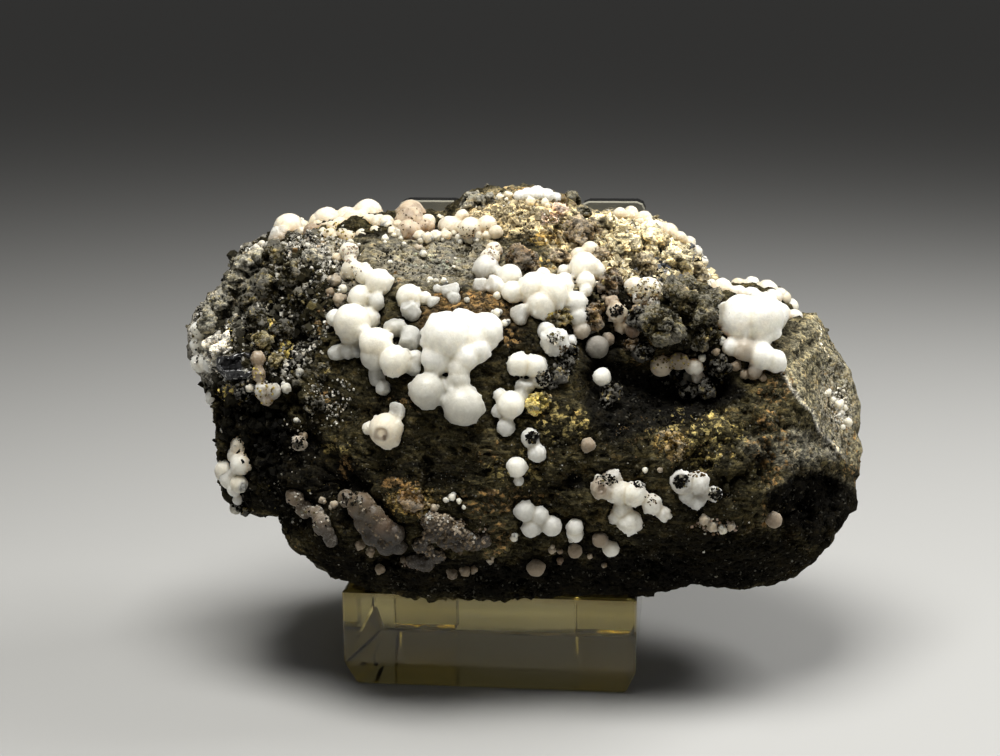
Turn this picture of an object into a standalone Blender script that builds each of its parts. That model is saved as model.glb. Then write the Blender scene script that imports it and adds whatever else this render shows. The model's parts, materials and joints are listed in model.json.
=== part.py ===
"""Botryoidal calcite on a volcanic matrix, resting on a small clear display stand.

Units are metres, +Z up.  The origin is the centre of the stand's foot, +X runs
along the specimen, +Y runs away from its show face.

The rough lump of matrix is laid out on a "sight sheet": a flat sheet, 1000
units wide and 756 high, in front of a fixed viewing point (EYE).  A point of
the sheet (across, down) together with a depth gives one point in space, so the
outline of the lump and the place and size of each calcite bead are given in
sheet units, where one unit is about 0.18 mm on the specimen.
"""

import math

import bmesh
import bpy
from mathutils import Matrix, Vector, noise
from mathutils.bvhtree import BVHTree

# ------------------------------------------------------------ dimensions
MM = 0.001
GAP = 0.0003                     # clearance kept between neighbouring solids

BLOCK_WIDTH = 0.0530             # clear block under the specimen
BLOCK_FRONT = -0.0235
BLOCK_BACK = 0.0235
BLOCK_HEIGHT = 0.0187
BLOCK_TAPER_HEIGHT = 0.0047      # bevelled foot of the block
BLOCK_TAPER_IN = 0.0019
BLOCK_EDGE = 0.0004

PRONG_WIDTH = 0.0126             # two uprights at the back of the block
PRONG_THICK = 0.0050
PRONG_HEIGHT = 0.0832
PRONG_LEFT_X = -0.0165
PRONG_RIGHT_X = 0.0197
PRONG_CORNER = 0.0016

# viewing point of the sight sheet and its axes
EYE = Vector((0.03504, -0.30784, 0.12548))
YAW, PITCH, ROLL = (math.radians(a) for a in (6.515, 13.171, -0.540))
FOCUS = 1700.0
MID_X, MID_Y = 500.0, 378.0

ROCK_MID = (525.0, 400.0)        # middle of the lump on the sheet
ROCK_DEPTH = 0.3104              # distance of its rim from EYE at mid height
ROCK_RIM_SLOPE = -0.015 / 402.0  # the rim leans back towards the top
ROCK_FRONT = 0.0245              # how far the front stands out of the rim
ROCK_BACK = 0.0315               # how far the back does
CALCITE_SEAT = 0.42              # height of a bead's centre over the rock, in radii

# outline of the lump on the sheet, clockwise from the left end
OUTLINE = [
    (188, 330), (195, 313), (203, 302), (222, 285), (231, 267), (243, 247),
    (262, 238), (300, 229), (330, 224), (368, 217), (411, 214), (445, 216),
    (462, 199), (478, 193), (500, 191), (540, 190), (562, 198), (578, 208),
    (600, 215), (625, 212), (650, 219), (672, 232), (690, 244), (705, 268),
    (722, 284), (752, 288), (780, 292), (800, 317), (812, 315), (835, 351),
    (850, 372), (858, 408), (858, 446), (855, 480), (851, 504), (839, 524),
    (825, 544), (794, 574), (753, 585), (720, 583), (689, 580), (665, 588),
    (644, 593), (600, 590), (570, 590), (540, 597), (495, 598), (450, 597),
    (395, 590), (344, 577), (310, 556), (293, 542), (281, 512), (262, 510),
    (240, 506), (226, 497), (221, 470), (222, 440), (213, 404), (203, 375),
    (192, 358),
]

# hollows (-) and swellings (+) of the show face:
# across, down, half width, half height, millimetres, power of the fall-off
FORMS = [
    (678, 312, 42, 36, 5.5, 1.3),      # rounded lump over the deep hollow
    (664, 390, 66, 32, -8.5, 1.2),     # deep hollow
    (610, 352, 34, 34, -4.5, 1.2),     # its left arm
    (640, 255, 80, 40, 3.0, 1.2),      # upper right shoulder
    (571, 482, 15, 14, -3.0, 1.3),
    (295, 335, 22, 42, -4.5, 1.3),     # pits of the left crust
    (250, 380, 50, 60, 2.0, 1.2),
    (330, 440, 40, 70, -2.0, 1.2),
    (460, 350, 120, 80, 2.5, 1.2),     # swell under the large calcite mass
    (740, 470, 90, 60, 3.0, 1.2),
    (430, 500, 60, 30, 1.5, 1.2),
    (560, 250, 60, 26, -2.5, 1.2),     # shallow shelf below the top hump
    (510, 205, 60, 18, 2.0, 1.2),      # top hump
    (620, 560, 80, 24, -2.0, 1.2),
]

# broken faces: a sheet point, its depth in front of the rim (mm), the way the
# face looks (right, up, towards the eye) and how much of the bulge it takes off
FACES = [
    (826, 440, 8.0, (0.80, 0.05, 0.60), 0.85),     # right end, over the ridge line
    (780, 520, 13.0, (0.40, -0.62, 0.68), 0.70),   # below it
    (760, 330, 15.0, (0.35, 0.62, 0.70), 0.60),    # upper right, under the calcite
    (240, 300, 9.0, (-0.62, 0.50, 0.60), 0.70),    # upper left
    (285, 500, 12.0, (-0.62, -0.45, 0.64), 0.70),  # lower left
    (470, 262, 20.0, (-0.05, 0.80, 0.60), 0.55),   # top, sloping back
    (470, 540, 17.0, (0.02, -0.72, 0.69), 0.70),   # undercut below
    (800, 430, -14.0, (0.75, 0.05, -0.66), 0.85),  # behind the right end
    (262, 380, -16.0, (-0.72, 0.15, -0.68), 0.80), # behind the left end
    (520, 262, -19.0, (0.05, 0.72, -0.69), 0.75),  # behind the top
    (520, 540, -18.0, (-0.05, -0.70, -0.71), 0.75),
]

# calcite beads: name -> rows of (across, down, radius) or
# (across, down, radius, seat) on the sheet; they grow together in one solid
BEADS = {
    "calcite_centre_mass": [
        (447, 336, 25, 0.60), (463, 327, 18, 0.65), (485, 331, 18.5, 0.65),
        (474, 338, 17, 0.80), (438, 357, 17, 0.60), (477, 350, 14, 1.05),
        (466, 357, 13.5, 1.15), (459, 368, 11.5, 1.10), (459, 380, 11.5, 0.90),
        (427, 391, 18, 0.70), (463, 406, 20, 0.70), (444, 387, 9, 0.60),
    ],
    "calcite_left_mass": [
        (349, 252, 10), (352, 269, 10.5), (365, 268, 6), (379, 282, 13.5, 0.7),
        (360, 297, 12), (376, 303, 8, 0.9), (352, 322, 18.5, 0.75), (335, 318, 9),
        (367, 319, 12), (352, 334, 13, 0.4), (376, 344, 17, 0.75), (374, 356, 14, 0.7),
        (395, 361, 15.5, 0.95), (395, 327, 10), (409, 338, 10), (415, 358, 8.5),
        (414, 368, 8), (338, 352, 8), (348, 351, 8.5), (357, 349, 7),
        (384, 388, 7), (376, 377, 7.5),
    ],
    "calcite_trefoil": [
        (409, 297, 13, 0.6), (410, 309, 10, 0.7), (425, 298, 7), (433, 301, 6),
    ],
    "calcite_small_fleck": [(452, 291, 8), (453, 298, 6), (438, 289, 4.5), (445, 290, 4)],
    "calcite_upper_centre": [
        (486, 268, 13), (494, 250, 8.5), (490, 258, 10), (481, 284, 8),
        (494, 286, 9), (510, 276, 12), (513, 292, 11.5, 0.6), (534, 289, 17, 0.6),
        (549, 293, 19, 0.65), (541, 304, 15, 0.6), (560, 287, 13, 0.6),
        (543, 275, 8, 0.6), (520, 314, 9), (575, 304, 13), (579, 317, 11),
        (582, 330, 9), (564, 271, 7), (565, 280, 8), (584, 267, 15, 0.6),
        (590, 250, 9, 0.5), (579, 256, 9, 0.5), (597, 271, 9, 0.5),
        (586, 281, 9.5, 0.6), (586, 290, 7, 0.6),
    ],
    "calcite_pitted_nodule": [(555, 342, 14, 0.6), (546, 332, 8), (571, 341, 6)],
    "calcite_middle_string": [
        (519, 364, 12, 0.7), (535, 366, 12, 0.7), (541, 378, 10), (524, 387, 8),
        (511, 405, 13.5, 0.7), (500, 395, 7), (498, 411, 7), (506, 427, 9.5),
        (520, 396, 7),
    ],
    "calcite_shell_pair": [(530, 438, 9.5), (537, 453, 9.5)],
    "calcite_drop": [(517, 467, 10.5, 0.7), (519, 481, 5.5, 0.7)],
    "calcite_hollow_bead": [(602, 377, 9.5, 0.8)],
    "calcite_hollow_back": [(597, 347, 12), (608, 339, 7)],
    "calcite_brown_bead": [(588, 445, 7.5, 0.6)],
    "calcite_snail_ball": [(386, 430, 17, 0.7), (397, 412, 8.5, 0.6), (369, 428, 7)],
    "calcite_dotted_beads": [(617, 313, 10), (612, 302, 7), (621, 326, 7), (633, 330, 8)],
    "calcite_white_patch": [
        (635, 287, 10), (648, 290, 13), (660, 293, 10), (640, 298, 8), (653, 303, 7),
    ],
    "calcite_overhang_row": [(661, 366, 11), (679, 361, 9.5), (694, 367, 9), (698, 377, 7)],
    "calcite_skyline_right": [
        (620, 214, 7), (631, 214, 8), (644, 219, 8.5), (656, 228, 8),
        (669, 231, 8.5), (680, 238, 7), (689, 243, 7),
    ],
    "calcite_right_mass": [
        (743, 319, 24, 0.55), (760, 319, 23, 0.90), (722, 316, 12, 0.5),
        (721, 290, 10.5, 0.7), (738, 294, 9, 0.8), (752, 297, 10, 0.9),
        (739, 286, 6, 0.6), (752, 283, 7, 0.6), (767, 290, 10.5, 0.7),
        (768, 301, 10, 0.9), (779, 296, 9, 0.7), (779, 314, 12, 0.7),
        (794, 319, 9), (792, 307, 7), (730, 347, 8.5), (745, 350, 12, 0.6),
        (762, 356, 13.5, 0.8), (775, 361, 12, 0.8), (754, 372, 8),
    ],
    "calcite_skyline_end": [(289, 228, 15, 0.2), (277, 236, 8)],
    "calcite_skyline_left": [
        (327, 221, 14, 0.2), (312, 232, 9), (340, 227, 10), (353, 222, 12, 0.2),
        (368, 214, 15, 0.2), (379, 224, 10, 0.2), (349, 238, 8), (330, 236, 8),
    ],
    "calcite_skyline_mottled": [(411, 215, 15, 0.2), (409, 231, 12, 0.3), (427, 226, 8, 0.2)],
    "calcite_skyline_pair": [
        (450, 227, 11.5, 0.3), (470, 229, 12, 0.3), (487, 225, 10, 0.3), (462, 216, 7, 0.2),
    ],
    "calcite_top_cap": [
        (519, 196, 6, 0.1), (528, 195, 8, 0.1), (537, 194, 8.5, 0.1), (547, 196, 8, 0.1), (556, 198, 6, 0.1),
    ],
    "calcite_lower_quartet": [
        (525, 511, 10.5, 0.6), (539, 515, 9.5, 0.6), (531, 528, 10, 0.6), (552, 526, 10.5, 0.6),
    ],
    "calcite_lower_oval": [(575, 527, 8.5, 0.7), (575, 534, 8.5, 0.7)],
    "calcite_lower_tan_bead": [(575, 551, 7.5, 0.6)],
    "calcite_underside_bead": [(536, 568, 9, 0.5)],
    "calcite_tan_pair": [(600, 540, 8, 0.6), (611, 549, 8.5, 0.6)],
    "calcite_lower_right_mass": [
        (602, 488, 11, 0.6), (613, 477, 8), (618, 492, 12), (634, 494, 12, 0.6),
        (622, 510, 9.5), (630, 522, 12, 0.6), (617, 517, 8), (652, 504, 10, 0.6),
        (664, 514, 7.5),
    ],
    "calcite_pitted_right": [
        (682, 482, 11.5, 0.6), (698, 483, 11, 0.6), (696, 502, 8), (714, 494, 8),
        (686, 495, 8), (706, 494, 7),
    ],
    "calcite_right_bead": [(774, 520, 8.5, 0.6)],
    "calcite_left_edge": [(199, 330, 9, 0.2), (197, 345, 8, 0.2), (200, 363, 10, 0.3), (213, 364, 8)],
    "calcite_left_trio": [(258, 358, 7.5), (262, 391, 8), (273, 391, 8), (267, 399, 7), (259, 375, 7)],
    "calcite_left_bead": [(214, 398, 8.5, 0.3)],
    "calcite_left_column": [
        (230, 428, 10.5, 0.3), (240, 445, 10), (226, 470, 11, 0.3), (230, 479, 10.5, 0.3),
        (241, 464, 11.5), (236, 455, 9), (238, 500, 6, 0.2), (234, 490, 7, 0.2),
    ],
    "calcite_mottled_bead": [(299, 443, 8, 0.5)],
    "calcite_lower_left_row": [
        (295, 497, 9), (305, 509, 9.5), (317, 513, 7), (322, 524, 10), (331, 540, 7), (328, 532, 7),
    ],
    "calcite_lower_band": [
        (346, 498, 9), (361, 506, 14), (374, 516, 11), (382, 527, 12), (394, 534, 11),
        (372, 537, 10), (386, 546, 10), (399, 547, 8), (364, 524, 10),
    ],
    "calcite_pink_crust": [
        (430, 520, 9), (443, 524, 10), (456, 531, 10), (468, 541, 9), (432, 534, 9),
        (445, 540, 9), (421, 545, 8), (458, 545, 8), (414, 561, 8), (425, 563, 9),
        (437, 556, 8), (484, 541, 7), (476, 545, 6),
    ],
    # growth carried over the ridge and round the ends, out of sight
    "calcite_back_ridge": [
        (330, 268, 13, 0.5, 1), (352, 262, 16, 0.5, 1), (374, 270, 12, 0.5, 1),
        (345, 288, 11, 0.5, 1), (312, 278, 9, 0.5, 1),
    ],
    "calcite_back_upper_right": [
        (716, 322, 12, 0.5, 1), (735, 332, 15, 0.5, 1), (727, 352, 11, 0.5, 1), (754, 346, 9, 0.5, 1),
    ],
    "calcite_back_right_end": [(790, 420, 12, 0.5, 1), (806, 436, 10, 0.5, 1), (786, 440, 10, 0.5, 1)],
    "calcite_back_left_end": [
        (240, 380, 12, 0.5, 1), (258, 392, 15, 0.5, 1), (248, 412, 11, 0.5, 1), (276, 404, 9, 0.5, 1),
    ],
    "calcite_back_middle": [(520, 430, 13, 0.5, 1), (540, 444, 15, 0.5, 1), (528, 460, 10, 0.5, 1)],
}

DARK_CRYSTAL = (236, 366, 18)    # black glassy crystal in the left crust
RIM_ZONE = 0.90                  # share of the outline's radius where the rim starts
FINE_ABOVE = 24.0                # beads larger than this get a finer sphere
PLAIN_BELOW = 9.6                # and those smaller than this a plain one
BEAD_FACES = 21                  # triangles that a bead may keep, on average


# ------------------------------------------------------------ sight sheet
def sight_axes():
    """Right, up and forward of the sheet in space."""
    cy, sy = math.cos(YAW), math.sin(YAW)
    ct, st = math.cos(PITCH), math.sin(PITCH)
    forward = Vector((-sy * ct, cy * ct, -st))
    right = Vector((cy, sy, 0.0))
    up = right.cross(forward)
    cr, sr = math.cos(ROLL), math.sin(ROLL)
    return cr * right + sr * up, -sr * right + cr * up, forward


RIGHT, UP, FORWARD = sight_axes()


def ray(across, down):
    """Direction from EYE through a sheet point, one unit deep along FORWARD."""
    return FORWARD + RIGHT * ((across - MID_X) / FOCUS) + UP * ((MID_Y - down) / FOCUS)


def at(across, down, depth):
    return EYE + ray(across, down) * depth


def smooth(a, b, x):
    t = min(1.0, max(0.0, (x - a) / (b - a)))
    return t * t * (3.0 - 2.0 * t)


# ------------------------------------------------------------ matrix
def outline_table(steps=360):
    """Radius of the outline round ROCK_MID at each degree."""
    polar = sorted(
        (math.atan2(y - ROCK_MID[1], x - ROCK_MID[0]), math.hypot(x - ROCK_MID[0], y - ROCK_MID[1]))
        for x, y in OUTLINE
    )
    polar = [(polar[-1][0] - 2 * math.pi, polar[-1][1])] + polar + [(polar[0][0] + 2 * math.pi, polar[0][1])]
    table = []
    k = 0
    for i in range(steps):
        angle = -math.pi + 2 * math.pi * i / steps
        while polar[k + 1][0] < angle:
            k += 1
        (a0, r0), (a1, r1) = polar[k], polar[k + 1]
        t = (angle - a0) / (a1 - a0)
        table.append(r0 + (r1 - r0) * t)
    return table


RIM = outline_table()


def rim_radius(angle):
    x = (angle + math.pi) / (2 * math.pi) * len(RIM)
    i = int(math.floor(x))
    t = x - i
    return RIM[i % len(RIM)] * (1 - t) + RIM[(i + 1) % len(RIM)] * t


def forms(across, down):
    """Millimetres that the show face stands out at a sheet point."""
    total = 0.0
    for x, y, rx, ry, amount, power in FORMS:
        d = ((across - x) / rx) ** 2 + ((down - y) / ry) ** 2
        if d < 9.0:
            total += amount * math.exp(-(d ** power))
    return total


def rock_point(n):
    """Point of the lump for a unit direction n = (right, up, towards the eye)."""
    a, b, c = n
    flat = math.hypot(a, b)
    angle = math.atan2(-b, a)
    share = flat ** 0.80
    radius = rim_radius(angle) * share
    across = ROCK_MID[0] + radius * math.cos(angle)
    down = ROCK_MID[1] + radius * math.sin(angle)
    depth = ROCK_DEPTH + ROCK_RIM_SLOPE * (down - ROCK_MID[1])
    if c >= 0.0:
        out = ROCK_FRONT * c ** 0.88
        out += forms(across, down) * MM * smooth(0.05, 0.45, c)
    else:
        out = -ROCK_BACK * (-c) ** 0.80
    point = at(across, down, depth - out)
    # broad unevenness, kept off the rim so that the outline holds
    middle = at(ROCK_MID[0], ROCK_MID[1], ROCK_DEPTH)
    away = (point - middle).normalized()
    free = smooth(0.04, 0.30, abs(c))
    q = point * 1000.0
    swell = noise.noise(q * 0.045 + Vector((3.1, 0.7, 5.9))) * 3.2
    swell += noise.noise(q * 0.11 + Vector((1.7, 8.2, 2.4))) * 1.5
    point += away * (swell * MM * free)
    for foot, way, share_off in BROKEN:
        over = (point - foot).dot(way)
        if over > 0.0:
            point -= way * (over * share_off * smooth(0.0, 0.0012, over))
    # it sits on the block and stands clear of the uprights
    point.z = max(point.z, BLOCK_HEIGHT + GAP)
    point.y = min(point.y, BLOCK_BACK)
    return point


def broken_faces():
    found = []
    for across, down, stand, way, share_off in FACES:
        depth = ROCK_DEPTH + ROCK_RIM_SLOPE * (down - ROCK_MID[1]) - stand * MM
        a, b, c = way
        found.append((at(across, down, depth), (RIGHT * a + UP * b - FORWARD * c).normalized(), share_off))
    return found


BROKEN = broken_faces()


def make_rock(name, collection, material):
    bm = bmesh.new()
    bmesh.ops.create_icosphere(bm, subdivisions=5, radius=1.0)
    for v in bm.verts:
        v.co = rock_point(v.co.normalized())
    bmesh.ops.recalc_face_normals(bm, faces=bm.faces[:])
    mesh = bpy.data.meshes.new(name)
    bm.to_mesh(mesh)
    bm.free()
    obj = bpy.data.objects.new(name, mesh)
    collection.objects.link(obj)
    mesh.materials.append(material)
    thin = obj.modifiers.new("Decimate", "DECIMATE")
    thin.ratio = ROCK_KEEP
    return obj


ROCK_KEEP = 0.52                 # share of the rock's faces that is kept


# ------------------------------------------------------------ helpers
def material(name, colour, roughness, metallic=0.0, transmission=0.0, ior=1.5):
    mat = bpy.data.materials.new(name)
    mat.use_nodes = True
    shader = mat.node_tree.nodes["Principled BSDF"]
    shader.inputs["Base Color"].default_value = (*colour, 1.0)
    shader.inputs["Roughness"].default_value = roughness
    shader.inputs["Metallic"].default_value = metallic
    shader.inputs["Transmission Weight"].default_value = transmission
    shader.inputs["IOR"].default_value = ior
    mat.diffuse_color = (*colour, 1.0)
    return mat


def evaluated_mesh(obj):
    graph = bpy.context.evaluated_depsgraph_get()
    return bpy.data.meshes.new_from_object(obj.evaluated_get(graph))


def tree_of(mesh):
    return BVHTree.FromPolygons([v.co.copy() for v in mesh.vertices], [tuple(p.vertices) for p in mesh.polygons])


def height_over(tree, point):
    """Distance from the rock, negative inside it."""
    near, normal, _, distance = tree.find_nearest(point)
    return distance if (point - near).dot(normal) >= 0.0 else -distance


def seat_bead(tree, across, down, radius, seat=CALCITE_SEAT, behind=0):
    """Centre and radius of a bead that sits on the rock at a sheet point."""
    line = ray(across, down).normalized()
    off = Vector((across - ROCK_MID[0], down - ROCK_MID[1], 0.0))
    part = off.length / rim_radius(math.atan2(off.y, off.x))
    if part > RIM_ZONE and not behind:
        # on the rim, where a sight line only grazes the rock
        bulge = math.sqrt(max(0.0, 1.0 - min(1.0, part) ** 2.5))
        depth = ROCK_DEPTH + ROCK_RIM_SLOPE * off.y - ROCK_FRONT * bulge ** 0.88
        return at(across, down, depth), radius * depth / FOCUS
    start = EYE
    if behind:
        start = EYE + line * 0.6
        line = -line
    hit, _, _, distance = tree.ray_cast(start, line)
    if hit is None:
        # beyond the rim: the nearest the sight line comes to the rock
        best, distance = None, 0.0
        for i in range(400):
            d = 0.26 + 0.10 * i / 400.0
            gap = tree.find_nearest(start + line * d)[3]
            if best is None or gap < best:
                best, distance = gap, d
    depth = abs((start + line * distance - EYE).dot(FORWARD))
    size = radius * depth / FOCUS
    d = distance
    step = size * 0.05
    for _ in range(200):
        if height_over(tree, start + line * d) >= seat * size:
            break
        if hit is None:
            break
        d -= step
    return start + line * d, size


def add_sphere(bm, centre, size, subdivisions):
    made = bmesh.ops.create_icosphere(
        bm, subdivisions=subdivisions, radius=size,
        matrix=Matrix.Translation(centre) @ Matrix.Rotation(centre.x * 900.0, 4, "Z") @ Matrix.Rotation(centre.z * 700.0, 4, "X"),
    )
    return made["verts"]


def necks(beads):
    """Short fillets that make one body of beads which barely touch."""
    joined, extra = {0}, []
    while len(joined) < len(beads):
        best = None
        for i in joined:
            for j in range(len(beads)):
                if j in joined:
                    continue
                (c0, r0), (c1, r1) = beads[i], beads[j]
                gap = (c0 - c1).length - r0 - r1
                rank = gap / min(r0, r1)
                if best is None or rank < best[0]:
                    best = (rank, i, j)
        rank, i, j = best
        joined.add(j)
        if rank > -0.45:
            (c0, r0), (c1, r1) = beads[i], beads[j]
            way = (c1 - c0).length
            t = (r0 + 0.5 * (way - r0 - r1)) / way
            size = 0.55 * min(r0, r1) + max(0.0, 0.5 * (way - r0 - r1))
            extra.append((c0.lerp(c1, min(0.9, max(0.1, t))), size))
    return extra


def boolean(obj, other, operation, use_self=False):
    mod = obj.modifiers.new(operation.title(), "BOOLEAN")
    mod.operation = operation
    mod.solver = "EXACT"
    mod.use_self = use_self
    mod.object = other
    return mod


def keep_largest(mesh):
    """One closed body: crumbs that the cut leaves are dropped."""
    bm = bmesh.new()
    bm.from_mesh(mesh)
    bmesh.ops.remove_doubles(bm, verts=bm.verts[:], dist=1e-6)
    bmesh.ops.triangulate(bm, faces=bm.faces[:])
    bm.verts.index_update()
    seen, bodies = set(), []
    for seed in bm.verts:
        if seed.index in seen:
            continue
        stack, body = [seed], []
        seen.add(seed.index)
        while stack:
            v = stack.pop()
            body.append(v)
            for e in v.link_edges:
                w = e.other_vert(v)
                if w.index not in seen:
                    seen.add(w.index)
                    stack.append(w)
        bodies.append(body)
    bodies.sort(key=len, reverse=True)
    loose = [v for body in bodies[1:] for v in body]
    if loose:
        bmesh.ops.delete(bm, geom=loose, context="VERTS")
    bm.to_mesh(mesh)
    bm.free()


def finished(obj):
    """Applies the object's modifiers and keeps one body."""
    mesh = evaluated_mesh(obj)
    keep_largest(mesh)
    old = obj.data
    obj.modifiers.clear()
    obj.data = mesh
    bpy.data.meshes.remove(old)
    return obj


# ------------------------------------------------------------ stand
def make_block(collection, mat):
    bm = bmesh.new()
    bmesh.ops.create_cube(bm, size=1.0)
    depth = BLOCK_BACK - BLOCK_FRONT
    for v in bm.verts:
        v.co = Vector((
            v.co.x * BLOCK_WIDTH,
            (v.co.y + 0.5) * depth + BLOCK_FRONT,
            (v.co.z + 0.5) * BLOCK_HEIGHT,
        ))
    # ring where the bevelled foot starts
    bmesh.ops.bisect_plane(bm, geom=bm.verts[:] + bm.edges[:] + bm.faces[:],
                           plane_co=(0, 0, BLOCK_TAPER_HEIGHT), plane_no=(0, 0, 1))
    for v in bm.verts:
        if v.co.z < 1e-6:
            v.co.x -= math.copysign(BLOCK_TAPER_IN, v.co.x)
            v.co.y += BLOCK_TAPER_IN if v.co.y < 0 else -BLOCK_TAPER_IN
    bmesh.ops.recalc_face_normals(bm, faces=bm.faces[:])
    mesh = bpy.data.meshes.new("stand_block")
    bm.to_mesh(mesh)
    bm.free()
    obj = bpy.data.objects.new("stand_block", mesh)
    collection.objects.link(obj)
    mesh.materials.append(mat)
    edge = obj.modifiers.new("Bevel", "BEVEL")
    edge.width = BLOCK_EDGE
    edge.segments = 1
    edge.limit_method = "ANGLE"
    edge.angle_limit = math.radians(12)
    return obj


def make_prong(name, x, collection, mat):
    bm = bmesh.new()
    bmesh.ops.create_cube(bm, size=1.0)
    for v in bm.verts:
        v.co = Vector((
            x + v.co.x * PRONG_WIDTH,
            BLOCK_BACK + GAP + (v.co.y + 0.5) * PRONG_THICK,
            (v.co.z + 0.5) * PRONG_HEIGHT,
        ))
    top = [e for e in bm.edges if all(v.co.z > PRONG_HEIGHT - 1e-6 for v in e.verts)
           and abs(e.verts[0].co.x - e.verts[1].co.x) < 1e-6]
    bmesh.ops.bevel(bm, geom=top, offset=PRONG_CORNER, segments=2, affect="EDGES", profile=0.5)
    bmesh.ops.recalc_face_normals(bm, faces=bm.faces[:])
    mesh = bpy.data.meshes.new(name)
    bm.to_mesh(mesh)
    bm.free()
    obj = bpy.data.objects.new(name, mesh)
    collection.objects.link(obj)
    mesh.materials.append(mat)
    edge = obj.modifiers.new("Bevel", "BEVEL")
    edge.width = 0.0003
    edge.segments = 1
    edge.limit_method = "ANGLE"
    edge.angle_limit = math.radians(50)
    return obj


# ------------------------------------------------------------ calcite
def make_beads(name, rows, tree, cutter, collection, mat):
    beads = [seat_bead(tree, *row) for row in rows]
    bm = bmesh.new()
    for (centre, size), row in zip(beads, rows):
        if row[2] < PLAIN_BELOW:
            add_sphere(bm, centre, size * 1.14, 1)
        else:
            add_sphere(bm, centre, size * 1.04, 3 if row[2] > FINE_ABOVE else 2)
    for centre, size in necks(beads):
        add_sphere(bm, centre, size * 1.1, 1)
    mesh = bpy.data.meshes.new(name)
    bm.to_mesh(mesh)
    bm.free()
    obj = bpy.data.objects.new(name, mesh)
    collection.objects.link(obj)
    mesh.materials.append(mat)
    boolean(obj, cutter, "DIFFERENCE", use_self=True)
    finished(obj)
    count = len(obj.data.polygons)
    target = 40 + BEAD_FACES * len(rows)
    if count > target:
        thin = obj.modifiers.new("Decimate", "DECIMATE")
        thin.ratio = target / count
        finished(obj)
        if tree_of(obj.data).overlap(tree):
            boolean(obj, cutter, "DIFFERENCE")
            finished(obj)
    return obj


def make_dark_crystal(tree, cutter, collection, mat):
    across, down, radius = DARK_CRYSTAL
    centre, size = seat_bead(tree, across, down, radius, 0.15)
    bm = bmesh.new()
    bmesh.ops.create_cone(bm, cap_ends=True, cap_tris=False, segments=6,
                          radius1=size * 1.05, radius2=size * 0.55, depth=size * 1.7)
    turn = Matrix.Rotation(math.radians(62), 4, "X") @ Matrix.Rotation(math.radians(-24), 4, "Y")
    bmesh.ops.transform(bm, matrix=Matrix.Translation(centre) @ turn @ Matrix.Diagonal((1.0, 0.72, 0.8, 1.0)), verts=bm.verts[:])
    mesh = bpy.data.meshes.new("dark_glassy_crystal")
    bm.to_mesh(mesh)
    bm.free()
    obj = bpy.data.objects.new("dark_glassy_crystal", mesh)
    collection.objects.link(obj)
    mesh.materials.append(mat)
    boolean(obj, cutter, "DIFFERENCE")
    return finished(obj)


def main():
    for obj in list(bpy.data.objects):
        bpy.data.objects.remove(obj, do_unlink=True)
    scene = bpy.context.scene
    specimen = bpy.data.collections.new("calcite_specimen")
    cutters = bpy.data.collections.new("cutters")
    scene.collection.children.link(specimen)
    scene.collection.children.link(cutters)

    clear = material("clear_acrylic", (0.86, 0.82, 0.60), 0.06, transmission=1.0, ior=1.49)
    stone = material("basalt_matrix", (0.115, 0.105, 0.085), 0.85)
    dark = material("dark_glassy_mineral", (0.02, 0.02, 0.022), 0.15)

    make_block(specimen, clear)
    make_prong("stand_prong_left", PRONG_LEFT_X, specimen, clear.copy())
    make_prong("stand_prong_right", PRONG_RIGHT_X, specimen, clear.copy())

    rock = make_rock("basalt_matrix", specimen, stone)
    finished(rock)

    # the rock swollen by a little more than the clearance, to cut the seats
    grown = bpy.data.objects.new("seat_cutter", rock.data.copy())
    cutters.objects.link(grown)
    bm = bmesh.new()
    bm.from_mesh(grown.data)
    bm.normal_update()
    shift = [(v, v.co + v.normal * (GAP * 1.7)) for v in bm.verts]
    for v, co in shift:
        v.co = co
    bm.to_mesh(grown.data)
    bm.free()
    grown.hide_render = True
    grown.display_type = "WIRE"

    tree = tree_of(rock.data)
    for number, (name, rows) in enumerate(BEADS.items()):
        tone = 0.80 - 0.012 * (number % 5)
        calcite = material(name, (tone, tone - 0.03, tone - 0.10), 0.40)
        make_beads(name, rows, tree, grown, specimen, calcite)
    make_dark_crystal(tree, grown, specimen, dark)
    grown.hide_set(False)


main()
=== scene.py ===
"""Looks of the calcite specimen on its clear stand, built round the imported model.

Units are metres, +Z up.  The lump and its beads are laid out on the same sight
sheet as in the CAD model: (across, down) on a sheet 1000 units wide and 756
high in front of EYE, where one unit is about 0.18 mm on the specimen.
"""

import json
import math
import random

import bmesh
import bpy
import numpy as np
from mathutils import Matrix, Vector, noise
from mathutils.bvhtree import BVHTree


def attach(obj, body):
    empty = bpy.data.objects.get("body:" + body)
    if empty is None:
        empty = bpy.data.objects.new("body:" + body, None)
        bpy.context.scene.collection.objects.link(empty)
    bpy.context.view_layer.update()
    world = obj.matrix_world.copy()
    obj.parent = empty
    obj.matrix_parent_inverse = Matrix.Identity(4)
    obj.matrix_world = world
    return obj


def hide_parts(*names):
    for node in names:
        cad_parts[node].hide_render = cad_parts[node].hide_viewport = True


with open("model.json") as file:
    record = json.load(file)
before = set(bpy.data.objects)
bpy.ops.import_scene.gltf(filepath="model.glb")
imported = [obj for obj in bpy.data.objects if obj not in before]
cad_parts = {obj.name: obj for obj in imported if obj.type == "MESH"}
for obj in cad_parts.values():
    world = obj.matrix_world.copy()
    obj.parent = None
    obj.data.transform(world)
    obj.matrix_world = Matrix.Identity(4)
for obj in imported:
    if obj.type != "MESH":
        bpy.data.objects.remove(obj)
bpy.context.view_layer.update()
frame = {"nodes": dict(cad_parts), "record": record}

MM = 0.001
GAP = 0.0003
BLOCK_BACK = 0.0235
BLOCK_HEIGHT = 0.0187

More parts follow.
